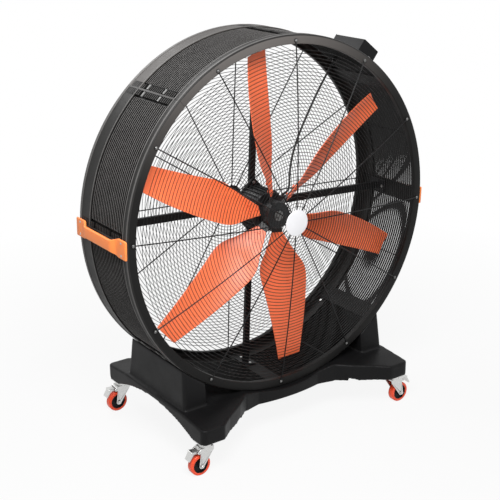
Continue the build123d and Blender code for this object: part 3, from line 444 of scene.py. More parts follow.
class Finish:
    """A material or world in progress: nodes that vary over the surface, and the shader they feed."""

    def __init__(self, name, world=None):
        self.owner = world or bpy.data.materials.new(name)
        self.owner.use_nodes = True
        self.tree = self.owner.node_tree
        self.tree.nodes.clear()
        self.place = self.node("ShaderNodeTexCoord", output="Object")

    def node(self, kind, settings=None, sockets=None, output=0):
        """Adds a node, sets it up, joins its sockets and returns one of its outputs."""
        made = self.tree.nodes.new(kind)
        for key, setting in (settings or {}).items():
            setattr(made, key, setting)
        for key, value in (sockets or {}).items():
            if isinstance(value, Value):
                self.tree.links.new(value.socket, made.inputs[key])
            else:
                made.inputs[key].default_value = value
        return Value(self, made.outputs[output]) if len(made.outputs) else made

    def stretched(self, x, y, z):
        """The place on the surface, with each axis scaled."""
        return self.node(
            "ShaderNodeVectorMath", {"operation": "MULTIPLY"}, {0: self.place, 1: (x, y, z)}
        )

    def coordinate(self, axis):
        """One coordinate of the place on the surface, in metres."""
        return self.node("ShaderNodeSeparateXYZ", sockets={0: self.place}, output=axis)

    def reach(self):
        """Distance of the place from the drum's axis, in metres."""
        across = self.coordinate("X")
        rise = self.coordinate("Z") - HUB_HEIGHT
        return (across * across + rise * rise) ** 0.5

    def within(self, middle, half):
        """1 inside a wedge round the drum's axis, with its middle and half width in degrees."""
        return self.toward(middle) > math.cos(math.radians(half))

    def toward(self, middle):
        """Cosine of the angle round the drum's axis between the place and an angle."""
        spoke = outward(middle)
        rise = self.coordinate("Z") - HUB_HEIGHT
        return (self.coordinate("X") * spoke.x + rise * spoke.z) / self.reach()

    def noise(self, size, detail=3.0, roughness=0.55, place=None):
        """Cloudy noise from 0 to 1, with its grain's size in metres."""
        return self.node(
            "ShaderNodeTexNoise",
            sockets={
                "Vector": place or self.place,
                "Scale": 1.0 / size,
                "Detail": detail,
                "Roughness": roughness,
            },
        )

    def pebbles(self, size):
        """Distance to the nearest of scattered points, with their spacing in metres."""
        return self.node(
            "ShaderNodeTexVoronoi", {"feature": "F1"}, {"Vector": self.place, "Scale": 1.0 / size}
        )

    def ramp(self, value, low, high, to_low=0.0, to_high=1.0):
        """Stretches a value's range onto another and clamps it there."""
        return self.node(
            "ShaderNodeMapRange",
            {"clamp": True},
            {"Value": value, 1: low, 2: high, 3: to_low, 4: to_high},
        )

    def mix(self, share, first, second):
        """Colour between two colours."""
        return self.node(
            "ShaderNodeMix",
            {"data_type": "RGBA"},
            {0: share, 6: opaque(first), 7: opaque(second)},
            output=2,
        )

    def bump(self, height, distance, strength=1.0):
        """Normal of a surface raised by a height from 0 to 1."""
        return self.node(
            "ShaderNodeBump",
            sockets={"Height": height, "Distance": distance, "Strength": strength},
        )

    def shade(self, **sockets):
        """Feeds the shader and returns the finished material."""
        named = {key.replace("_", " ").title().replace("Ior", "IOR"): sockets[key] for key in sockets}
        if "Base Color" in named:
            named["Base Color"] = opaque(named["Base Color"])
        shader = self.node("ShaderNodeBsdfPrincipled", sockets=named)
        self.node("ShaderNodeOutputMaterial", sockets={"Surface": shader})
        return self.owner


def opaque(colour):
    """A colour with full alpha, unless it is a socket."""
    return colour if isinstance(colour, Value) else (*tuple(colour)[:3], 1.0)


def tint(colour, factor):
    """A colour made lighter or darker."""
    return tuple(min(1.0, channel * factor) for channel in tuple(colour)[:3])


def moulded_black(name, colour, grain, sheen):
    """Black moulded plastic with a fine leather-like grain and a soft sheen."""
    finish = Finish(name)
    clouds = finish.noise(0.09, detail=4.0)
    fine = finish.noise(grain, detail=2.0, roughness=0.6)
    pits = finish.pebbles(grain * 2.2)
    dust = finish.ramp(finish.noise(0.02, detail=6.0, roughness=0.7), 0.55, 0.8)
    shade = finish.mix(clouds, tint(colour, 0.85), tint(colour, 1.2))
    shade = finish.mix(dust * 0.25, shade, tint(colour, 1.9))
    return finish.shade(
        base_color=shade,
        roughness=finish.ramp(clouds, 0.3, 0.7, sheen - 0.05, sheen + 0.07),
        specular_ior_level=0.12,
        normal=finish.bump(fine * 0.7 + pits * 0.6, grain * 0.28, 0.55),
    )


def ring_plastic(name, colour, bead_highlight, band_painted_light):
    """Grained black plastic, with painted highlights: pale on its raised beads, on the top length of its
    band and towards the top of its face.
    """
    finish = Finish(name)
    clouds = finish.noise(0.07, detail=4.0)
    fine = finish.noise(0.0012, detail=2.0, roughness=0.6)
    specks = finish.ramp(finish.noise(0.0045, detail=5.0, roughness=0.75), 0.52, 0.72)
    shade = finish.mix(clouds, tint(colour, 0.85), tint(colour, 1.2))
    shade = finish.mix(specks * 0.22, shade, tint(colour, 2.6))
    reach = finish.reach()
    on_band = finish.ramp(reach, BAND_INNER + 0.001, BAND_INNER + 0.002)
    # Painted highlight: the band's top length is paled, by a share the caller gives.
    top_length = finish.within(90, 180 / RING_LENGTHS)
    band_light_mask = top_length * on_band * finish.ramp(clouds, 0.2, 0.8, 0.75, 1.0)
    shade = finish.mix(band_light_mask * band_painted_light, shade, PAINTED_LIGHT_TONE)
    on_face = finish.ramp(reach, BAND_INNER, BAND_INNER - 0.002)
    shade = finish.mix(on_face * 0.55, shade, (0.001, 0.001, 0.001))
    # Painted highlight: the face is paled towards its top, most at one angle.
    crest = finish.ramp(finish.toward(FACE_PAINTED_LIGHT_ANGLE), 0.45, 1.0) ** 1.5
    shade = finish.mix(crest * on_face * FACE_PAINTED_LIGHT, shade, PAINTED_LIGHT_TONE)
    # Painted highlight: the raised beads and the outer corner are paled.
    raised = finish.ramp(reach, DRUM_RADIUS - 0.0013, DRUM_RADIUS - 0.0003)
    shade = finish.mix(raised * finish.ramp(clouds, 0.25, 0.75, 0.55, 0.9), shade, bead_highlight)
    return finish.shade(
        base_color=shade,
        roughness=finish.ramp(clouds, 0.3, 0.7, 0.40, 0.52),
        specular_ior_level=0.12,
        normal=finish.bump(fine, 0.0003, 0.5),
    )


def slat_plastic(name, colour, crown_highlight, top):
    """Black plastic slats, pale along their tops as a painted highlight."""
    finish = Finish(name)
    patches = finish.noise(0.06, detail=4.0)
    fine = finish.noise(0.0012, detail=2.0)
    # Painted highlight: the outermost 1.6 mm up to the top are paled.
    lit_top = finish.ramp(finish.reach(), top - 0.0016, top - 0.0004)
    shade = finish.mix(lit_top * finish.ramp(patches, 0.3, 0.7, 0.8, 1.0), colour, crown_highlight)
    return finish.shade(
        base_color=shade,
        roughness=finish.ramp(patches, 0.3, 0.7, 0.42, 0.55),
        specular_ior_level=0.15,
        normal=finish.bump(fine, 0.0002, 0.5),
    )


def powder_coat(name, colour, sheen, gloss=0.12):
    """Baked powder coat with its slight orange peel."""
    finish = Finish(name)
    peel = finish.noise(0.0022, detail=1.5)
    clouds = finish.noise(0.06, detail=3.0)
    speck = finish.ramp(finish.noise(0.0007, detail=1.0), 0.62, 0.75)
    shade = finish.mix(clouds, tint(colour, 0.85), tint(colour, 1.25))
    shade = finish.mix(speck * 0.3, shade, tint(colour, 2.2))
    return finish.shade(
        base_color=shade,
        roughness=finish.ramp(clouds, 0.3, 0.7, sheen - 0.04, sheen + 0.06),
        specular_ior_level=gloss,
        normal=finish.bump(peel, 0.0003, 0.5),
    )


def painted_casting(name, colour):
    """Sand-cast metal under black paint."""
    finish = Finish(name)
    sand = finish.noise(0.0035, detail=5.0, roughness=0.65)
    clouds = finish.noise(0.05, detail=3.0)
    shade = finish.mix(clouds, tint(colour, 0.8), tint(colour, 1.3))
    return finish.shade(
        base_color=shade,
        roughness=finish.ramp(clouds, 0.3, 0.7, 0.38, 0.5),
        specular_ior_level=0.4,
        normal=finish.bump(sand, 0.0009, 0.6),
    )


def blade_plastic(name, colour):
    """Glossy fibre-filled blade plastic, with flow marks and a little dust."""
    finish = Finish(name)
    flow = finish.noise(0.05, detail=5.0, roughness=0.6)
    fibre = finish.noise(0.0016, detail=3.0)
    dust = finish.ramp(finish.noise(0.012, detail=6.0, roughness=0.7), 0.56, 0.8)
    shade = finish.mix(flow, tint(colour, 0.93), tint(colour, 1.06))
    shade = finish.mix(dust * 0.08, shade, (0.72, 0.5, 0.4))
    return finish.shade(
        base_color=shade,
        roughness=finish.ramp(flow, 0.3, 0.7, 0.36, 0.46),
        specular_ior_level=0.6,
        normal=finish.bump(fibre * 0.5 + flow, 0.00012, 0.5),
    )


def grip_plastic(name, colour):
    """Orange plastic with a fine spark-eroded grain."""
    finish = Finish(name)
    grain = finish.noise(0.0011, detail=2.0)
    clouds = finish.noise(0.04, detail=4.0)
    scuffs = finish.ramp(finish.noise(0.006, detail=5.0, place=finish.stretched(1, 0.3, 1)), 0.6, 0.8)
    shade = finish.mix(clouds, tint(colour, 0.94), tint(colour, 1.05))
    shade = finish.mix(scuffs * 0.12, shade, tint(colour, 1.25))
    return finish.shade(
        base_color=shade,
        roughness=finish.ramp(clouds, 0.3, 0.7, 0.42, 0.52),
        specular_ior_level=0.45,
        normal=finish.bump(grain, 0.00018, 0.5),
    )


def zinc_plate(name, colour, polish):
    """Bright zinc plating, brushed and faintly clouded."""
    finish = Finish(name)
    brushed = finish.noise(0.0006, detail=2.0, place=finish.stretched(1, 1, 0.06))
    clouds = finish.noise(0.012, detail=4.0)
    stain = finish.ramp(finish.noise(0.004, detail=5.0), 0.55, 0.75)
    shade = finish.mix(clouds, tint(colour, 0.82), tint(colour, 1.1))
    shade = finish.mix(stain * 0.3, shade, (0.42, 0.40, 0.36))
    return finish.shade(
        base_color=shade,
        metallic=1.0,
        roughness=finish.ramp(brushed + clouds, 0.7, 1.3, polish - 0.06, polish + 0.1),
        normal=finish.bump(brushed, 0.00006, 0.4),
    )


def tread_rubber(name, colour):
    """Cast polyurethane tread, with scuffs where it meets the floor."""
    finish = Finish(name)
    clouds = finish.noise(0.02, detail=4.0)
    scuffs = finish.ramp(finish.noise(0.0035, detail=6.0, roughness=0.7), 0.55, 0.78)
    shade = finish.mix(clouds, tint(colour, 0.92), tint(colour, 1.08))
    shade = finish.mix(scuffs * 0.18, shade, (0.35, 0.16, 0.11))
    return finish.shade(
        base_color=shade,
        roughness=finish.ramp(scuffs, 0.0, 1.0, 0.32, 0.5),
        specular_ior_level=0.45,
        normal=finish.bump(scuffs + clouds, 0.0002, 0.4),
    )


def cable_rubber(name, colour):
    """Matt rubber sheath with faint extrusion lines."""
    finish = Finish(name)
    matt = finish.noise(0.0012, detail=3.0)
    clouds = finish.noise(0.02, detail=3.0)
    shade = finish.mix(clouds, tint(colour, 0.8), tint(colour, 1.4))
    return finish.shade(
        base_color=shade,
        roughness=finish.ramp(matt, 0.3, 0.7, 0.5, 0.62),
        specular_ior_level=0.35,
        normal=finish.bump(matt, 0.00012, 0.5),
    )


def disc_plastic(name, colour):
    """White lacquered plastic with the faintest ripple."""
    finish = Finish(name)
    ripple = finish.noise(0.03, detail=2.0)
    speck = finish.noise(0.0012, detail=2.0)
    shade = finish.mix(ripple, tint(colour, 0.97), tint(colour, 1.01))
    return finish.shade(
        base_color=shade,
        roughness=finish.ramp(ripple, 0.3, 0.7, 0.22, 0.28),
        coat_weight=0.3,
        coat_roughness=0.08,
        normal=finish.bump(ripple + speck * 0.1, 0.0002, 0.2),
    )


# ---- What a user would change ----


class FanColours(bpy.types.PropertyGroup):
    """Colours of the fan's finishes"""

    base: bpy.props.FloatVectorProperty(
        name="Base", description="Moulded base", subtype="COLOR", size=3, min=0, max=1,
        default=(0.0055, 0.0054, 0.0057),
    )
    shell: bpy.props.FloatVectorProperty(
        name="Drum", description="Rings and slats of the drum", subtype="COLOR", size=3, min=0, max=1,
        default=(0.016, 0.0155, 0.015),
    )
    steel: bpy.props.FloatVectorProperty(
        name="Steel", description="Coated bars, wires and sheet", subtype="COLOR", size=3, min=0, max=1,
        default=(0.006, 0.006, 0.0065),
    )
    blade: bpy.props.FloatVectorProperty(
        name="Blades", description="Blade plastic", subtype="COLOR", size=3, min=0, max=1,
        default=(0.97, 0.175, 0.058),
    )
    grip: bpy.props.FloatVectorProperty(
        name="Handles", description="Handle plastic", subtype="COLOR", size=3, min=0, max=1,
        default=(0.97, 0.26, 0.06),
    )
    tread: bpy.props.FloatVectorProperty(
        name="Treads", description="Castor treads", subtype="COLOR", size=3, min=0, max=1,
        default=(0.86, 0.075, 0.022),
    )
    # Pale colour of the painted highlights on slat tops, comb teeth and ring beads
    crown_highlight: bpy.props.FloatVectorProperty(
        name="Slat crowns", description="Rubbed edges of slats and rings", subtype="COLOR", size=3,
        min=0, max=1, default=(0.135, 0.13, 0.127),
    )
    zinc: bpy.props.FloatVectorProperty(
        name="Zinc", description="Plated castor steel and screws", subtype="COLOR", size=3, min=0, max=1,
        default=(0.66, 0.66, 0.65),
    )
    disc: bpy.props.FloatVectorProperty(
        name="Disc", description="Blank disc on the front guard", subtype="COLOR", size=3, min=0, max=1,
        default=(0.74, 0.74, 0.76),
    )


class FanSizes(bpy.types.PropertyGroup):
    """Sizes of the fan's fine shapes"""

    guard_rings: bpy.props.IntProperty(
        name="Guard rings", description="Rings in each guard", min=8, max=80, default=46,
    )
    guard_wire: bpy.props.FloatProperty(
        name="Ring wire", description="Thickness of a guard's rings", unit="LENGTH", default=0.0028,
    )
    stay_wire: bpy.props.FloatProperty(
        name="Stay wire", description="Thickness of a guard's stays", unit="LENGTH", default=0.0056,
    )
    first_ring: bpy.props.FloatProperty(
        name="First ring", description="Radius of a guard's smallest ring", unit="LENGTH", default=0.074,
    )
    last_ring: bpy.props.FloatProperty(
        name="Last ring", description="Radius of a guard's largest ring", unit="LENGTH", default=0.753,
    )
    blade_edge: bpy.props.FloatProperty(
        name="Blade thickness", description="Thickness of a blade", unit="LENGTH", default=0.004,
    )
    base_voxel: bpy.props.FloatProperty(
        name="Base grid", description="Grid on which the base's edges are rounded", unit="LENGTH",
        default=0.005,
    )


class FanStage(bpy.types.PropertyGroup):
    """Camera and light"""

    lens: bpy.props.FloatProperty(
        name="Lens", description="Focal length on a 36 mm sensor", unit="CAMERA", default=76.73,
    )
    key_power: bpy.props.FloatProperty(
        name="Key light", description="Power of the lamp above the left front", unit="POWER", default=150,
    )
    fill_power: bpy.props.FloatProperty(
        name="Fill light", description="Power of the lamp to the right", unit="POWER", default=7,
    )
    rear_power: bpy.props.FloatProperty(
        name="Rear light", description="Power of the lamp above and behind", unit="POWER", default=60,
    )
    sky: bpy.props.FloatProperty(
        name="Surroundings", description="Light from all round", min=0, max=2, default=0.28,
    )


# ---- Stage ----


class FAN_OT_stage(bpy.types.Operator):
    """Set up the camera, the pale floor and the soft light"""

    bl_idname = "drum_fan.stage"
    bl_label = "Stage"

    def execute(self, context):
        stage = context.scene.fan_stage
        self.add_camera(context, stage)
        self.add_floor()
        self.add_lamps(context, stage)
        self.light_surroundings(context, stage)
        context.scene.view_settings.view_transform = "Standard"
        return {"FINISHED"}

    def add_camera(self, context, stage):
        """Camera at the left front, a little above the fan."""
        yaw, pitch, roll = (math.radians(a) for a in (CAMERA_YAW, CAMERA_PITCH, CAMERA_ROLL))
        back = Vector(
            (math.sin(yaw) * math.cos(pitch), -math.cos(yaw) * math.cos(pitch), math.sin(pitch))
        )
        level = Vector((0, 0, 1)).cross(back).normalized()
        rise = back.cross(level)
        right = level * math.cos(roll) + rise * math.sin(roll)
        up = rise * math.cos(roll) - level * math.sin(roll)
        lens = bpy.data.cameras.new("camera")
        lens.sensor_width = SENSOR_WIDTH
        lens.lens = stage.lens
        lens.clip_start = 0.1
        lens.clip_end = 200
        camera = bpy.data.objects.new("camera", lens)
        turn = Matrix((right, up, back)).transposed().to_4x4()
        camera.matrix_world = Matrix.Translation(CAMERA_PLACE) @ turn
        context.scene.collection.objects.link(camera)
        context.scene.camera = camera

    def add_floor(self):
        """Pale floor that glows white away from the fan and keeps its shadow."""
        bm = bmesh.new()
        bmesh.ops.create_grid(bm, x_segments=4, y_segments=4, size=60)
        floor = as_object("floor", bm)
        finish = Finish("floor_paint")
        seen = seen_directly(finish)
        marks = finish.noise(0.4, detail=3.0)
        paint = finish.node(
            "ShaderNodeBsdfDiffuse", sockets={"Color": finish.mix(marks, (0.60,) * 3, (0.63,) * 3)}
        )
        glow = finish.node("ShaderNodeEmission", sockets={"Color": (1, 1, 1, 1), "Strength": 1.0})
        x, y = finish.coordinate("X"), finish.coordinate("Y")
        away = (x * x + y * y) ** 0.5
        share = finish.ramp(away, FLOOR_NEAR, FLOOR_FAR, FLOOR_GLOW, 1.0)
        both = finish.node("ShaderNodeMixShader", sockets={0: seen * share, 1: paint, 2: glow})
        finish.node("ShaderNodeOutputMaterial", sockets={"Surface": both})
        floor.data.materials.append(finish.owner)

    def add_lamps(self, context, stage):
        """Three soft square lamps: where each stands, and what it points at."""
        lamps = (
            ("key", stage.key_power, 1.5, (-1.4, -1.9, 3.2), (0, -0.1, 1.5)),
            ("fill", stage.fill_power, 2.4, (3.2, -2.6, 2.2), (0, 0, 0.9)),
            ("rear", stage.rear_power, 2.2, (-0.5, 2.4, 3.6), (0, 0.1, 1.5)),
        )
        for name, power, size, spot, aim in lamps:
            light = bpy.data.lights.new(name, "AREA")
            light.shape = "SQUARE"
            light.size = size
            light.energy = power
            lamp = bpy.data.objects.new(name, light)
            lamp.location = spot
            lamp.rotation_mode = "QUATERNION"
            lamp.rotation_quaternion = (Vector(aim) - Vector(spot)).to_track_quat("-Z", "Y")
            context.scene.collection.objects.link(lamp)

    def light_surroundings(self, context, stage):
        """Even light from all round, white where it is seen."""
        world = bpy.data.worlds.new("surroundings")
        finish = Finish("surroundings", world)
        seen = seen_directly(finish)
        glow = finish.node("ShaderNodeBackground", sockets={"Color": (1, 1, 1, 1), "Strength": 1.0})
        light = finish.node(
            "ShaderNodeBackground", sockets={"Color": (1, 1, 1, 1), "Strength": stage.sky}
        )
        both = finish.node("ShaderNodeMixShader", sockets={0: seen, 1: light, 2: glow})
        finish.node("ShaderNodeOutputWorld", sockets={"Surface": both})
        context.scene.world = world


def seen_directly(finish):
    """1 where a camera, mirror or glass ray meets the surface."""
    rays = [finish.node("ShaderNodeLightPath", output=f"Is {kind} Ray") for kind in
            ("Camera", "Glossy", "Transmission")]
    return finish.node("ShaderNodeClamp", sockets={0: rays[0] + rays[1] + rays[2]})


# ---- Pieces ----


class FAN_OT_motor_cable(bpy.types.Operator):
    """Hang the cable between the glands of the control box and the motor"""

    bl_idname = "drum_fan.motor_cable"
    bl_label = "Motor cable"

    def execute(self, context):
        route = [
            on_drum(BOX_ANGLE, GLAND_INNER, GLAND_DEPTH),
            on_drum(BOX_ANGLE, GLAND_INNER - CABLE_LEAD, GLAND_DEPTH),
            Vector((0.398, 0.063, 1.500)),
            Vector((0.338, 0.066, 1.394)),
            Vector((0.281, 0.062, 1.296)),
            Vector((0.241, 0.051, 1.212)),
            Vector((0.214, 0.032, 1.138)),
            Vector((0.200, 0.013, 1.093)),
            on_drum(MOTOR_GLAND_ANGLE, MOTOR_GLAND_END + CABLE_LEAD, MOTOR_GLAND_DEPTH),
            on_drum(MOTOR_GLAND_ANGLE, MOTOR_GLAND_END, MOTOR_GLAND_DEPTH),
        ]
        curve = bpy.data.curves.new("motor_cable_sheath", "CURVE")
        curve.dimensions = "3D"
        spline = curve.splines.new("NURBS")
        spline.points.add(len(route) - 1)
        for point, spot in zip(spline.points, route):
            point.co = (*spot, 1.0)
        spline.order_u = 3
        spline.use_endpoint_u = True
        spline.resolution_u = 12
        curve.bevel_depth = CABLE_RADIUS
        curve.bevel_resolution = 5
        curve.use_fill_caps = True
        colours = context.scene.fan_colours
        curve.materials.append(cable_rubber("cable_rubber", tint(colours.steel, 0.9)))
        cable = bpy.data.objects.new("motor_cable_sheath", curve)
        context.scene.collection.objects.link(cable)
        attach(cable, "frame")
        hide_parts("motor_cable")
        return {"FINISHED"}


class FAN_OT_base(bpy.types.Operator):
    """Build the base as a rotationally moulded shell with soft edges"""

    bl_idname = "drum_fan.base"
    bl_label = "Base"

    def execute(self, context):
        sizes = context.scene.fan_sizes
        bm = bmesh.new()
        bm.from_mesh(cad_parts["base"].data)
        bmesh.ops.remove_doubles(bm, verts=bm.verts, dist=0.00001)
        form = as_object("base_form", bm)
        skin = form.modifiers.new("skin", "REMESH")
        skin.mode = "VOXEL"
        skin.voxel_size = sizes.base_voxel
        smooth = form.modifiers.new("smooth", "SMOOTH")
        smooth.factor = 0.5
        smooth.iterations = 5
        shell = finished_mesh(form)
        bpy.data.objects.remove(form)
        keep_outer_shell(shell)
        bow_beams(shell)
        finish = moulded_black("base_plastic", context.scene.fan_colours.base, 0.0011, 0.42)
        place_mesh("base_moulding", shell, finish, "frame", ["base"], 180.0)
        return {"FINISHED"}


def keep_outer_shell(mesh):
    """Deletes every loose part of a mesh but the largest."""
    bm = bmesh.new()
    bm.from_mesh(mesh)
    left = set(bm.verts)
    islands = []
    while left:
        heap = [left.pop()]
        island = []
        while heap:
            vert = heap.pop()
            island.append(vert)
            for edge in vert.link_edges:
                other = edge.other_vert(vert)
                if other in left:
                    left.discard(other)
                    heap.append(other)
        islands.append(island)
    islands.sort(key=len)
    for island in islands[:-1]:
        bmesh.ops.delete(bm, geom=island, context="VERTS")
    bm.to_mesh(mesh)
    bm.free()


def bow_beams(mesh):
    """Moves the beams' rims outward, in the middle and again where they meet the feet."""
    for vert in mesh.vertices:
        x, y = abs(vert.co.x), abs(vert.co.y)
        share = min(1.0, max(0.0, (y - BEAM_FADE_START) / BEAM_FADE))
        bow = BEAM_BOW * max(0.0, 1 - (x / BEAM_HALF) ** 2)
        flare = BEAM_FLARE * min(1.0, max(0.0, (FLARE_END - x) / FLARE_FADE))
        moved = share * share * (3 - 2 * share) * abs(bow - flare)
        vert.co.y += math.copysign(moved, vert.co.y)


def ring_lengths(bm, profile):
    """Turns a ring's profile in lengths with a fine gap between them."""
    gap = math.degrees(SEAM_GAP / DRUM_RADIUS)
    length = 360 / RING_LENGTHS
    for k in range(RING_LENGTHS):
        lathe(bm, profile, (k + 0.5) * length + gap / 2, length - gap, 60)


class FAN_OT_rings(bpy.types.Operator):
    """Build the drum's flanged end rings, with beads along their bands"""

    bl_idname = "drum_fan.rings"
    bl_label = "End rings"

    def execute(self, context):
        colours = context.scene.fan_colours
        front = self.channel(0.0, 1, FRONT_BAND, corner=0.008, bead=0.014)
        self.add_ring(colours, "front_ring", front, band_painted_light=0.0)
        rear = self.channel(DRUM_DEPTH, -1, REAR_BAND, corner=0.024, bead=0.034)
        self.add_ring(colours, "rear_ring", rear, band_painted_light=0.20)
        return {"FINISHED"}

    def add_ring(self, colours, node, section, band_painted_light):
        """One end ring, with a painted highlight on the top length of its band."""
        finish = ring_plastic(f"{node}_plastic", colours.shell, colours.crown_highlight, band_painted_light)
        bm = bmesh.new()
        ring_lengths(bm, section)
        make_piece(f"{node}_shell", bm, finish, "frame", [node])

    def channel(self, face, inward, band, corner, bead):
        """Section of a ring: lip, face, rounded corner, sunk band between two beads."""
        outer = DRUM_RADIUS
        floor = outer - BAND_SINK
        spots = [
            (MOUTH_RADIUS, RING_LIP, 0.0015),
            (MOUTH_RADIUS, 0.0, 0.003),
            (outer, 0.0, corner),
            (outer, bead, 0.001),
            (floor, bead + BEAD_SLOPE, 0.001),
            (floor, band - BEAD_WIDTH - BEAD_SLOPE, 0.001),
            (outer, band - BEAD_WIDTH, 0.001),
            (outer, band, 0.0015),
            (BAND_INNER, band, 0.001),
            (BAND_INNER, RING_WALL, max(corner - RING_WALL, 0.001)),
            (MOUTH_RADIUS + RING_WALL, RING_WALL, 0.002),
            (MOUTH_RADIUS + RING_WALL, RING_LIP, 0.0015),
        ]
        points = [(radius, face + inward * depth) for radius, depth, _ in spots]
        return rounded(points, [soft for _, _, soft in spots])


class FAN_OT_drum_side(bpy.types.Operator):
    """Build the slatted panels, the combed struts between them and the seam clips"""

    bl_idname = "drum_fan.drum_side"
    bl_label = "Drum side"

    pitch = (DRUM_DEPTH - REAR_BAND - FRONT_BAND) / SLAT_COUNT

    def execute(self, context):
        colours = context.scene.fan_colours
        dark = tint(colours.shell, 0.3)
        panels = bmesh.new()
        struts = bmesh.new()
        combs = bmesh.new()
        for k in range(STRUT_COUNT):
            angle = 360 / STRUT_COUNT * k
            self.add_panel(panels, angle)
            self.add_strut(struts, angle)
            self.add_comb(combs, angle)
        slats = slat_plastic("slat_plastic", dark, colours.crown_highlight, SLAT_OUTER)
        make_piece("slatted_panels", panels, slats, "frame", ["side_grilles"])
        coat = powder_coat("strut_coat", dark, sheen=0.5, gloss=0.1)
        make_piece("sunk_struts_and_shadow_strips", struts, coat, "frame", ["drum_struts"])
        # Comb teeth carry a dimmer painted highlight along their tops.
        teeth = slat_plastic("comb_plastic", dark, tint(colours.crown_highlight, 0.45), COMB_TOP)
        make_piece("joint_combs", combs, teeth, "frame", ["drum_struts"])
        clips = bmesh.new()
        for k in range(RING_LENGTHS):
            for side in (-1, 1):
                for depth in CLIP_DEPTHS:
                    self.add_clip(clips, (k + 0.5) * 360 / RING_LENGTHS, side, depth)
        zinc = zinc_plate("clip_zinc", tint(colours.zinc, 0.3), 0.55)
        make_piece("spring_clips", clips, zinc, "frame", ["seam_clips"])
        return {"FINISHED"}

    def add_bar(self, bm, angle, half, low, high, start, end, soft=0.0005, steps=2):
        """Bar along the drum, curved with it, between two radii and two depths."""
        spread = math.degrees(half / high)
        spots = [(low, start), (low, end), (high, end), (high, start)]
        lathe(bm, rounded(spots, [0, 0, soft, soft], 2), angle - spread, 2 * spread, steps)

    def add_panel(self, bm, angle):
        """Slats on ribs between two rails, from one joint to the next."""
        start = angle + JOINT_HALF
        sweep = 360 / STRUT_COUNT - 2 * JOINT_HALF
        slats = [(FRONT_BAND + (k + 0.5) * self.pitch, SLAT_THICKNESS) for k in range(SLAT_COUNT)]
        rails = [(PANEL_START + RAIL_WIDTH / 2, RAIL_WIDTH), (PANEL_END - RAIL_WIDTH / 2, RAIL_WIDTH)]
        for depth, thick in slats + rails:
            spots = [
                (SLAT_INNER, depth - thick / 2),
                (SLAT_INNER, depth + thick / 2),
                (SLAT_OUTER, depth + thick / 2),
                (SLAT_OUTER, depth - thick / 2),
            ]
            lathe(bm, rounded(spots, (0, 0, 0.0012, 0.0012), 3), start, sweep, 22)
        for share in (0, 0.5, 1):
            rib = start + share * sweep
            self.add_bar(bm, rib, RIB_WIDTH / 2, SLAT_INNER, SLAT_OUTER - 0.003, PANEL_START, PANEL_END)

    def add_strut(self, bm, angle):
        """Flat strut sunk below the slats, and a dark strip under the comb on the rear band as a painted
        shadow between its teeth.
        """
        end = DRUM_DEPTH - STRUT_START
        self.add_bar(bm, angle, JOINT_REACH, STRUT_INNER, STRUT_FLOOR, STRUT_START, end, steps=8)
        # Painted shadow: a thin dark sheet under the comb's teeth on the rear band.
        margin = 0.004
        half = COMB_REACH + margin
        start = DRUM_DEPTH - REAR_BAND + BEAD_WIDTH + 0.002
        low = DRUM_RADIUS - BAND_SINK + 0.0001
        self.add_bar(bm, angle, half, low, low + 0.0003, start, COMB_END + margin, 0.0001, 6)

    def add_comb(self, bm, angle):
        """Teeth on both sides of a narrow bar that covers the joint, but for one behind each clip."""
        count = round((COMB_END - COMB_START) / self.pitch)
        near = SEAM_BAR_WIDTH / 2
        half = SLAT_THICKNESS / 2
        for k in range(count + 1):
            depth = COMB_START + k * self.pitch
            if any(0 < depth - clip - CLIP_CLEARANCE < self.pitch for clip in CLIP_DEPTHS):
                continue
            low = STRUT_FLOOR if depth < DRUM_DEPTH - REAR_BAND else COMB_FLOOR_REAR
            for side in (-1, 1):
                middle = angle + side * math.degrees((near + COMB_REACH) / 2 / COMB_TOP)
                reach = (COMB_REACH - near) / 2
                self.add_bar(bm, middle, reach, low, COMB_TOP, depth - half, depth + half, 0.0008)
        top = COMB_TOP + SEAM_BAR_RISE
        self.add_bar(bm, angle, near, STRUT_FLOOR, top, FRONT_BAND, SEAM_BAR_END, 0.001)

    def add_clip(self, bm, angle, side, depth):
        """Spring clip across the comb, curved with the drum."""
        middle = angle + side * math.degrees(CLIP_SPREAD / COMB_TOP)
        half = CLIP_WIDTH / 2
        low, high = COMB_TOP - CLIP_SINK, COMB_TOP + CLIP_RISE
        self.add_bar(bm, middle, CLIP_LENGTH / 2, low, high, depth - half, depth + half, 0.0012, 4)


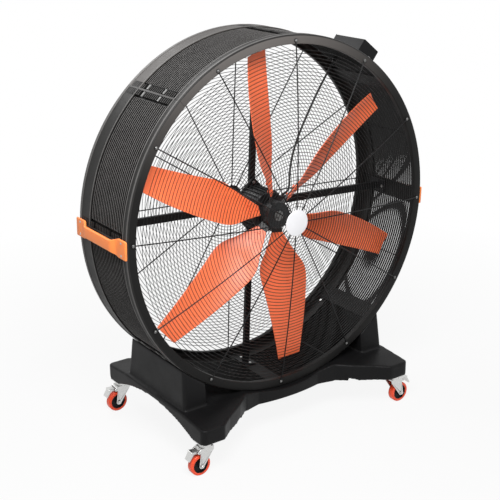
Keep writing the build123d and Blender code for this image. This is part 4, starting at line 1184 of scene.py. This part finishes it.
class FAN_OT_guards(bpy.types.Operator):
    """Build both wire guards, with stays that end in eyes and the screws through them"""

    bl_idname = "drum_fan.guards"
    bl_label = "Guards"

    def execute(self, context):
        colours = context.scene.fan_colours
        sizes = context.scene.fan_sizes
        finish = powder_coat("wire_coat", tint(colours.steel, 0.5), sheen=0.30, gloss=0.22)
        lift = EYELET_THICKNESS / 2
        for node, rim, bulge, reach in (
            ("front_guard", -lift, -FRONT_GUARD_RISE, FRONT_GUARD_REACH),
            ("rear_guard", DRUM_DEPTH + lift, REAR_GUARD_RISE, REAR_GUARD_REACH),
        ):
            bm = bmesh.new()
            self.add_guard(bm, sizes, rim, bulge, reach)
            make_piece(f"{node}_wires", bm, finish, "frame", [node], 60.0)
        self.add_screws(colours)
        return {"FINISHED"}

    def add_guard(self, bm, sizes, rim, bulge, reach):
        """Rings behind stays, both following one shallow dome."""

        def depth_at(radius):
            return rim + bulge * (1 - (radius / reach) ** 2)

        outside = math.copysign(1, bulge)
        under = (sizes.guard_wire + sizes.stay_wire) / 2 - WIRE_LAP
        step = (sizes.last_ring - sizes.first_ring) / (sizes.guard_rings - 1)
        for k in range(sizes.guard_rings):
            radius = sizes.first_ring + k * step
            centre = (radius, depth_at(radius) - outside * under)
            steps = round(72 + 160 * radius / reach)
            lathe(bm, circle(sizes.guard_wire / 2, 6, centre), steps=steps)
        for k in range(STAY_COUNT):
            angle = 360 / STAY_COUNT * k
            self.add_stay(bm, sizes.stay_wire / 2, angle, depth_at, rim, reach)
        hub = depth_at(0)
        plate = [
            (PLATE_BORE, hub - outside * PLATE_HALF),
            (PLATE_RADIUS, hub - outside * PLATE_HALF),
            (PLATE_RADIUS, hub + outside * PLATE_HALF / 2),
            (PLATE_BORE, hub + outside * PLATE_HALF),
        ]
        lathe(bm, rounded(plate, (0.0002, 0.0008, 0.0008, 0.0002), 3), steps=72)

    def add_stay(self, bm, thick, angle, depth_at, rim, reach):
        """One radial wire that ends in an eye round its screw."""
        inner = PLATE_RADIUS * 0.6
        outer = reach - EYELET_RADIUS + thick
        count = 26
        path = []
        for k in range(count + 1):
            radius = inner + (outer - inner) * k / count
            path.append(on_drum(angle, radius, depth_at(radius)))
        tube(bm, path, thick)
        eye = []
        centre = on_drum(angle, reach, rim)
        for x, y in circle(EYELET_RADIUS - thick, 20):
            eye.append(centre + outward(angle) * x + around(angle) * y)
        tube(bm, eye, min(thick, EYELET_THICKNESS / 2), closed=True)

    def add_screws(self, colours):
        """Domed screws on washers, through the stays' eyes."""
        finish = zinc_plate("screw_zinc", tint(colours.zinc, 0.3), 0.34)
        bm = bmesh.new()
        for k in range(STAY_COUNT):
            angle = 360 / STAY_COUNT * k
            for reach, depth, axis in (
                (FRONT_GUARD_REACH, -EYELET_THICKNESS, (0, -1, 0)),
                (REAR_GUARD_REACH, DRUM_DEPTH + EYELET_THICKNESS, (0, 1, 0)),
            ):
                seat = on_drum(angle, reach, depth)
                under = seat - Vector(axis) * WASHER_THICKNESS
                washer(bm, under, axis, SCREW_HEAD_RADIUS + WASHER_LIP, WASHER_THICKNESS)
                pan_head(bm, seat, axis, SCREW_HEAD_RADIUS, SCREW_HEAD_RISE)
        make_piece("guard_screw_heads", bm, finish, "frame", ["guard_screws"])


class FAN_OT_centre_disc(bpy.types.Operator):
    """Build the blank disc in the middle of the front guard"""

    bl_idname = "drum_fan.centre_disc"
    bl_label = "Centre disc"

    def execute(self, context):
        finish = disc_plastic("disc_lacquer", context.scene.fan_colours.disc)
        back = -EYELET_THICKNESS / 2 - FRONT_GUARD_RISE - PLATE_HALF
        soft, round_edge = 0.0008, 0.0014
        profile = [(0.0, 0.0), (DISC_RADIUS - soft, 0.0), (DISC_RADIUS, soft)]
        profile.append((DISC_RADIUS, DISC_RIM - round_edge))
        for k in range(5):
            turn = math.pi / 2 * k / 4
            inward, below = round_edge * (1 - math.cos(turn)), round_edge * (1 - math.sin(turn))
            profile.append((DISC_RADIUS - inward, DISC_RIM - below))
        for k in range(1, 13):
            share = 1 - k / 12
            rise = DISC_RIM + DISC_CROWN * (1 - share**2)
            profile.append(((DISC_RADIUS - round_edge) * share, rise))
        bm = bmesh.new()
        turned(bm, on_drum(0, 0, back), (0, -1, 0), profile, 96)
        make_piece("centre_disc_dome", bm, finish, "frame", ["centre_disc"])
        return {"FINISHED"}


class FAN_OT_support(bpy.types.Operator):
    """Finish the support bars, the motor plate and their bolts"""

    bl_idname = "drum_fan.support"
    bl_label = "Support bars"

    def execute(self, context):
        colours = context.scene.fan_colours
        coat = powder_coat("bar_coat", colours.steel, 0.40)
        for node in ("support_upright", "support_crossbars", "motor_plate"):
            dress(node, coat, 0.0012)
        dress("frame_bolts", zinc_plate("bolt_zinc", tint(colours.zinc, 0.8), 0.36), 0.0004)
        return {"FINISHED"}


class FAN_OT_motor(bpy.types.Operator):
    """Finish the finned motor and its inner parts"""

    bl_idname = "drum_fan.motor"
    bl_label = "Motor"

    def execute(self, context):
        colours = context.scene.fan_colours
        casting = painted_casting("motor_paint", colours.steel)
        bare = zinc_plate("bare_steel", (0.55, 0.55, 0.55), 0.32)
        dress("motor_housing", casting, 0.0006)
        dress("motor_cover", casting, 0.0008)
        for node in ("motor_bearings", "motor_stator", "motor_core", "motor_shaft"):
            dress(node, bare)
        return {"FINISHED"}


class FAN_OT_rotor(bpy.types.Operator):
    """Build the twisting blades, and finish the hub with its arms and bolts"""

    bl_idname = "drum_fan.rotor"
    bl_label = "Rotor"

    def execute(self, context):
        colours = context.scene.fan_colours
        sizes = context.scene.fan_sizes
        plastic = blade_plastic("blade_plastic", colours.blade)
        for k in range(BLADE_COUNT):
            bm = bmesh.new()
            self.add_blade(bm, ROTOR_ANGLE - DRUM_TURN + 360 / BLADE_COUNT * k, sizes.blade_edge)
            make_piece(
                f"blade_{k + 1}_vane", bm, plastic, "rotor", [f"fan_blade_{k + 1}"], 60.0
            )
        dress("fan_hub", painted_casting("hub_paint", colours.steel), 0.0012)
        black_zinc = zinc_plate("dark_zinc", tint(colours.zinc, 0.3), 0.34)
        dress("blade_bolts", plastic, 0.0005)
        dress("hub_bolt", black_zinc, 0.0007)
        return {"FINISHED"}

    def section(self, radius):
        """Chord, pitch and forward shift of a blade at a radius, with a smooth run of chords."""
        spots = BLADE_CHORDS
        last = len(spots) - 1
        k = max(i for i in range(last) if radius >= spots[i][0] or i == 0)
        (near, low), (far, high) = spots[k], spots[k + 1]
        span = far - near
        slopes = []
        for i in (k, k + 1):
            before, after = spots[max(i - 1, 0)], spots[min(i + 1, last)]
            slopes.append((after[1] - before[1]) / (after[0] - before[0]) * span)
        if k == last - 1:
            slopes[0] = slopes[1]
        s = (radius - near) / span
        blend = 3 * s**2 - 2 * s**3
        chord = low * (1 - blend) + high * blend
        chord += slopes[0] * (s - 2 * s**2 + s**3) + slopes[1] * (s**3 - s**2)
        twist = max(0.0, radius - BLADE_SEAT) / (BLADE_TIP - BLADE_SEAT)
        taper = max(0.0, radius - BLADE_BELLY) / (BLADE_TIP - BLADE_BELLY)
        return chord, ROOT_PITCH + (TIP_PITCH - ROOT_PITCH) * twist, TIP_LEAD * taper**2

    def add_blade(self, bm, angle, thickness):
        """Vane with a cambered section and rounded edges, from its flat root to its tip."""
        skin = thickness / 2
        stops = 44
        start, end = BLADE_ROOT, BLADE_TIP
        spots = [start + (end - start) * k / stops for k in range(stops + 1)]
        radii = [(start + 0.0002, 0.7), *[(spot, 1.0) for spot in spots[1:-1]]]
        radii += [(end - 0.0016, 1.0), (end - 0.0004, 0.8), (end, 0.4)]
        loops = []
        across = 18
        for radius, fullness in radii:
            chord, pitch, lead = self.section(radius)
            turn = math.radians(pitch)
            chordwise = around(angle) * math.cos(turn) - Vector((0, math.sin(turn), 0))
            front = outward(angle).cross(chordwise)
            camber = CAMBER * min(1.0, max(0.0, (radius - BLADE_SEAT) / 0.070))
            half = chord / 2 - skin
            loop = []
            for side in (1, -1):
                for k in range(across + 1):
                    x = side * half * (2 * k / across - 1)
                    sag = chord * camber * (1 - (x / (chord / 2)) ** 2)
                    loop.append((x, side * skin * fullness - sag))
                for k in range(1, 4):
                    swing = math.pi / 2 - math.pi * k / 4
                    x = side * (half + skin * math.cos(swing))
                    loop.append((x, side * skin * fullness * math.sin(swing)))
            centre = on_drum(angle, radius, ROTOR_DEPTH)
            loops.append([centre + chordwise * (lead + x) + front * y for x, y in loop])
        join_loops(bm, loops)


class FAN_OT_handles(bpy.types.Operator):
    """Build the two moulded side handles"""

    bl_idname = "drum_fan.handles"
    bl_label = "Handles"

    def execute(self, context):
        finish = grip_plastic("grip_plastic", context.scene.fan_colours.grip)
        for side, angle in zip(("right", "left"), HANDLE_ANGLES):
            bm = bmesh.new()
            self.add_handle(bm, angle)
            mesh = bored(bm, self.bores(angle))
            place_mesh(f"{side}_grip", mesh, finish, "frame", [f"handle_{side}"], 40.0)
        return {"FINISHED"}

    def bores(self, angle):
        """Sunk seats of the handle's four screws."""
        bm = bmesh.new()
        for depth in HANDLE_SCREW_DEPTHS:
            for side in (-1, 1):
                seat = on_drum(angle, DRUM_RADIUS + HANDLE_SEAT, depth)
                seat += around(angle) * side * HANDLE_SCREW_SPREAD
                turned(bm, seat, outward(angle), [(HANDLE_BORE, 0), (HANDLE_BORE, 0.01)], 24)
        return bm

    def add_handle(self, bm, angle):
        """Loft along the handle: depth, underside, thickness and width at each station."""
        stations = (
            (0.0012, 0.8204, 0.0060, 0.074),
            (0.0028, 0.8203, 0.0080, 0.080),
            (0.0050, 0.8202, 0.0088, 0.082),
            (0.0620, 0.8202, 0.0090, 0.082),
            (0.0770, 0.8202, 0.0095, 0.073),
            (0.0860, 0.8220, 0.0118, 0.066),
            (0.0960, 0.8284, 0.0128, 0.059),
            (0.1070, 0.8322, 0.0130, 0.053),
            (0.1200, 0.8330, 0.0130, 0.051),
            (0.2180, 0.8330, 0.0130, 0.051),
            (0.3210, 0.8330, 0.0130, 0.051),
            (0.3320, 0.8322, 0.0130, 0.051),
            (0.3420, 0.8284, 0.0128, 0.053),
            (0.3510, 0.8230, 0.0118, 0.064),
            (0.3590, 0.8202, 0.0100, 0.079),
            (0.3660, 0.8202, 0.0090, 0.082),
            (0.4300, 0.8202, 0.0088, 0.082),
            (0.4322, 0.8203, 0.0080, 0.080),
            (0.4338, 0.8204, 0.0060, 0.074),
        )
        loops = []
        for depth, under, thick, width in stations:
            soft = min(thick * 0.42, 0.0055)
            section = rounded(
                [(-width / 2, 0), (width / 2, 0), (width / 2, thick), (-width / 2, thick)],
                [soft * 0.6, soft * 0.6, soft, soft],
                4,
            )
            origin = on_drum(angle, under, depth)
            loops.append([origin + around(angle) * x + outward(angle) * y for x, y in section])
        join_loops(bm, loops)


def bored(bm, cutter_bm):
    """Mesh in progress with another cut out of it."""
    for part in (bm, cutter_bm):
        bmesh.ops.recalc_face_normals(part, faces=part.faces)
    body = as_object("form", bm)
    cutter = as_object("cutter", cutter_bm)
    cut = body.modifiers.new("cut", "BOOLEAN")
    cut.operation = "DIFFERENCE"
    cut.solver = "EXACT"
    cut.object = cutter
    result = finished_mesh(body)
    bpy.data.objects.remove(body)
    bpy.data.objects.remove(cutter)
    return result


class FAN_OT_control_box(bpy.types.Operator):
    """Finish the control box, its panel, knob, switch, glands and screws"""

    bl_idname = "drum_fan.control_box"
    bl_label = "Control box"

    def execute(self, context):
        colours = context.scene.fan_colours
        coat = powder_coat("box_coat", tint(colours.steel, 0.9), sheen=0.42, gloss=0.1)
        trim = moulded_black("trim_plastic", tint(colours.steel, 1.1), 0.0007, 0.34)
        dress("control_box", coat, 0.0006)
        dress("control_panel", coat, 0.0005)
        dress("speed_knob", trim, 0.0006)
        dress("power_switch", trim, 0.0006)
        dress("cable_glands", trim, 0.0005)
        dress("panel_screws", zinc_plate("panel_zinc", tint(colours.zinc, 0.7), 0.34), 0.0005)
        return {"FINISHED"}


class FAN_OT_castors(bpy.types.Operator):
    """Finish the four castors with their brake pedals"""

    bl_idname = "drum_fan.castors"
    bl_label = "Castors"

    def execute(self, context):
        colours = context.scene.fan_colours
        zinc = zinc_plate("castor_zinc", colours.zinc, 0.28)
        core = moulded_black("core_nylon", tint(colours.steel, 1.2), 0.0007, 0.4)
        tread = tread_rubber("tread_urethane", colours.tread)
        dress("castor_tops", zinc, 0.0006)
        for corner in CORNERS:
            dress(f"castor_fork_{corner}", zinc, 0.0010)
            dress(f"castor_axle_{corner}", zinc, 0.0005)
            dress(f"brake_pedal_{corner}", zinc, 0.0008)
            dress(f"castor_wheel_{corner}", core, 0.0008)
            dress(f"castor_tyre_{corner}", tread)
        return {"FINISHED"}


# ---- Add-on ----

OPERATORS = (
    FAN_OT_stage,
    FAN_OT_motor_cable,
    FAN_OT_base,
    FAN_OT_rings,
    FAN_OT_drum_side,
    FAN_OT_guards,
    FAN_OT_centre_disc,
    FAN_OT_support,
    FAN_OT_motor,
    FAN_OT_rotor,
    FAN_OT_handles,
    FAN_OT_control_box,
    FAN_OT_castors,
)
GROUPS = {"fan_colours": FanColours, "fan_sizes": FanSizes, "fan_stage": FanStage}


class FAN_PT_panel(bpy.types.Panel):
    """Sizes, colours and steps of the drum fan"""

    bl_idname = "FAN_PT_panel"
    bl_label = "Drum fan"
    bl_space_type = "VIEW_3D"
    bl_region_type = "UI"
    bl_category = "Drum fan"

    def draw(self, context):
        for group in GROUPS:
            settings = getattr(context.scene, group)
            for name in settings.__annotations__:
                self.layout.prop(settings, name)
        for operator in OPERATORS:
            self.layout.operator(operator.bl_idname)


def register():
    """Makes the property groups, operators and panel known to Blender."""
    for made in (*GROUPS.values(), *OPERATORS, FAN_PT_panel):
        bpy.utils.register_class(made)
    for name, group in GROUPS.items():
        setattr(bpy.types.Scene, name, bpy.props.PointerProperty(type=group))


def unregister():
    """Takes them out again."""
    for name in GROUPS:
        delattr(bpy.types.Scene, name)
    for made in (FAN_PT_panel, *reversed(OPERATORS), *reversed(GROUPS.values())):
        bpy.utils.unregister_class(made)


def main():
    """Builds the fan."""
    register()
    for operator in OPERATORS:
        group, name = operator.bl_idname.split(".")
        getattr(getattr(bpy.ops, group), name)()


if __name__ == "__main__":
    main()
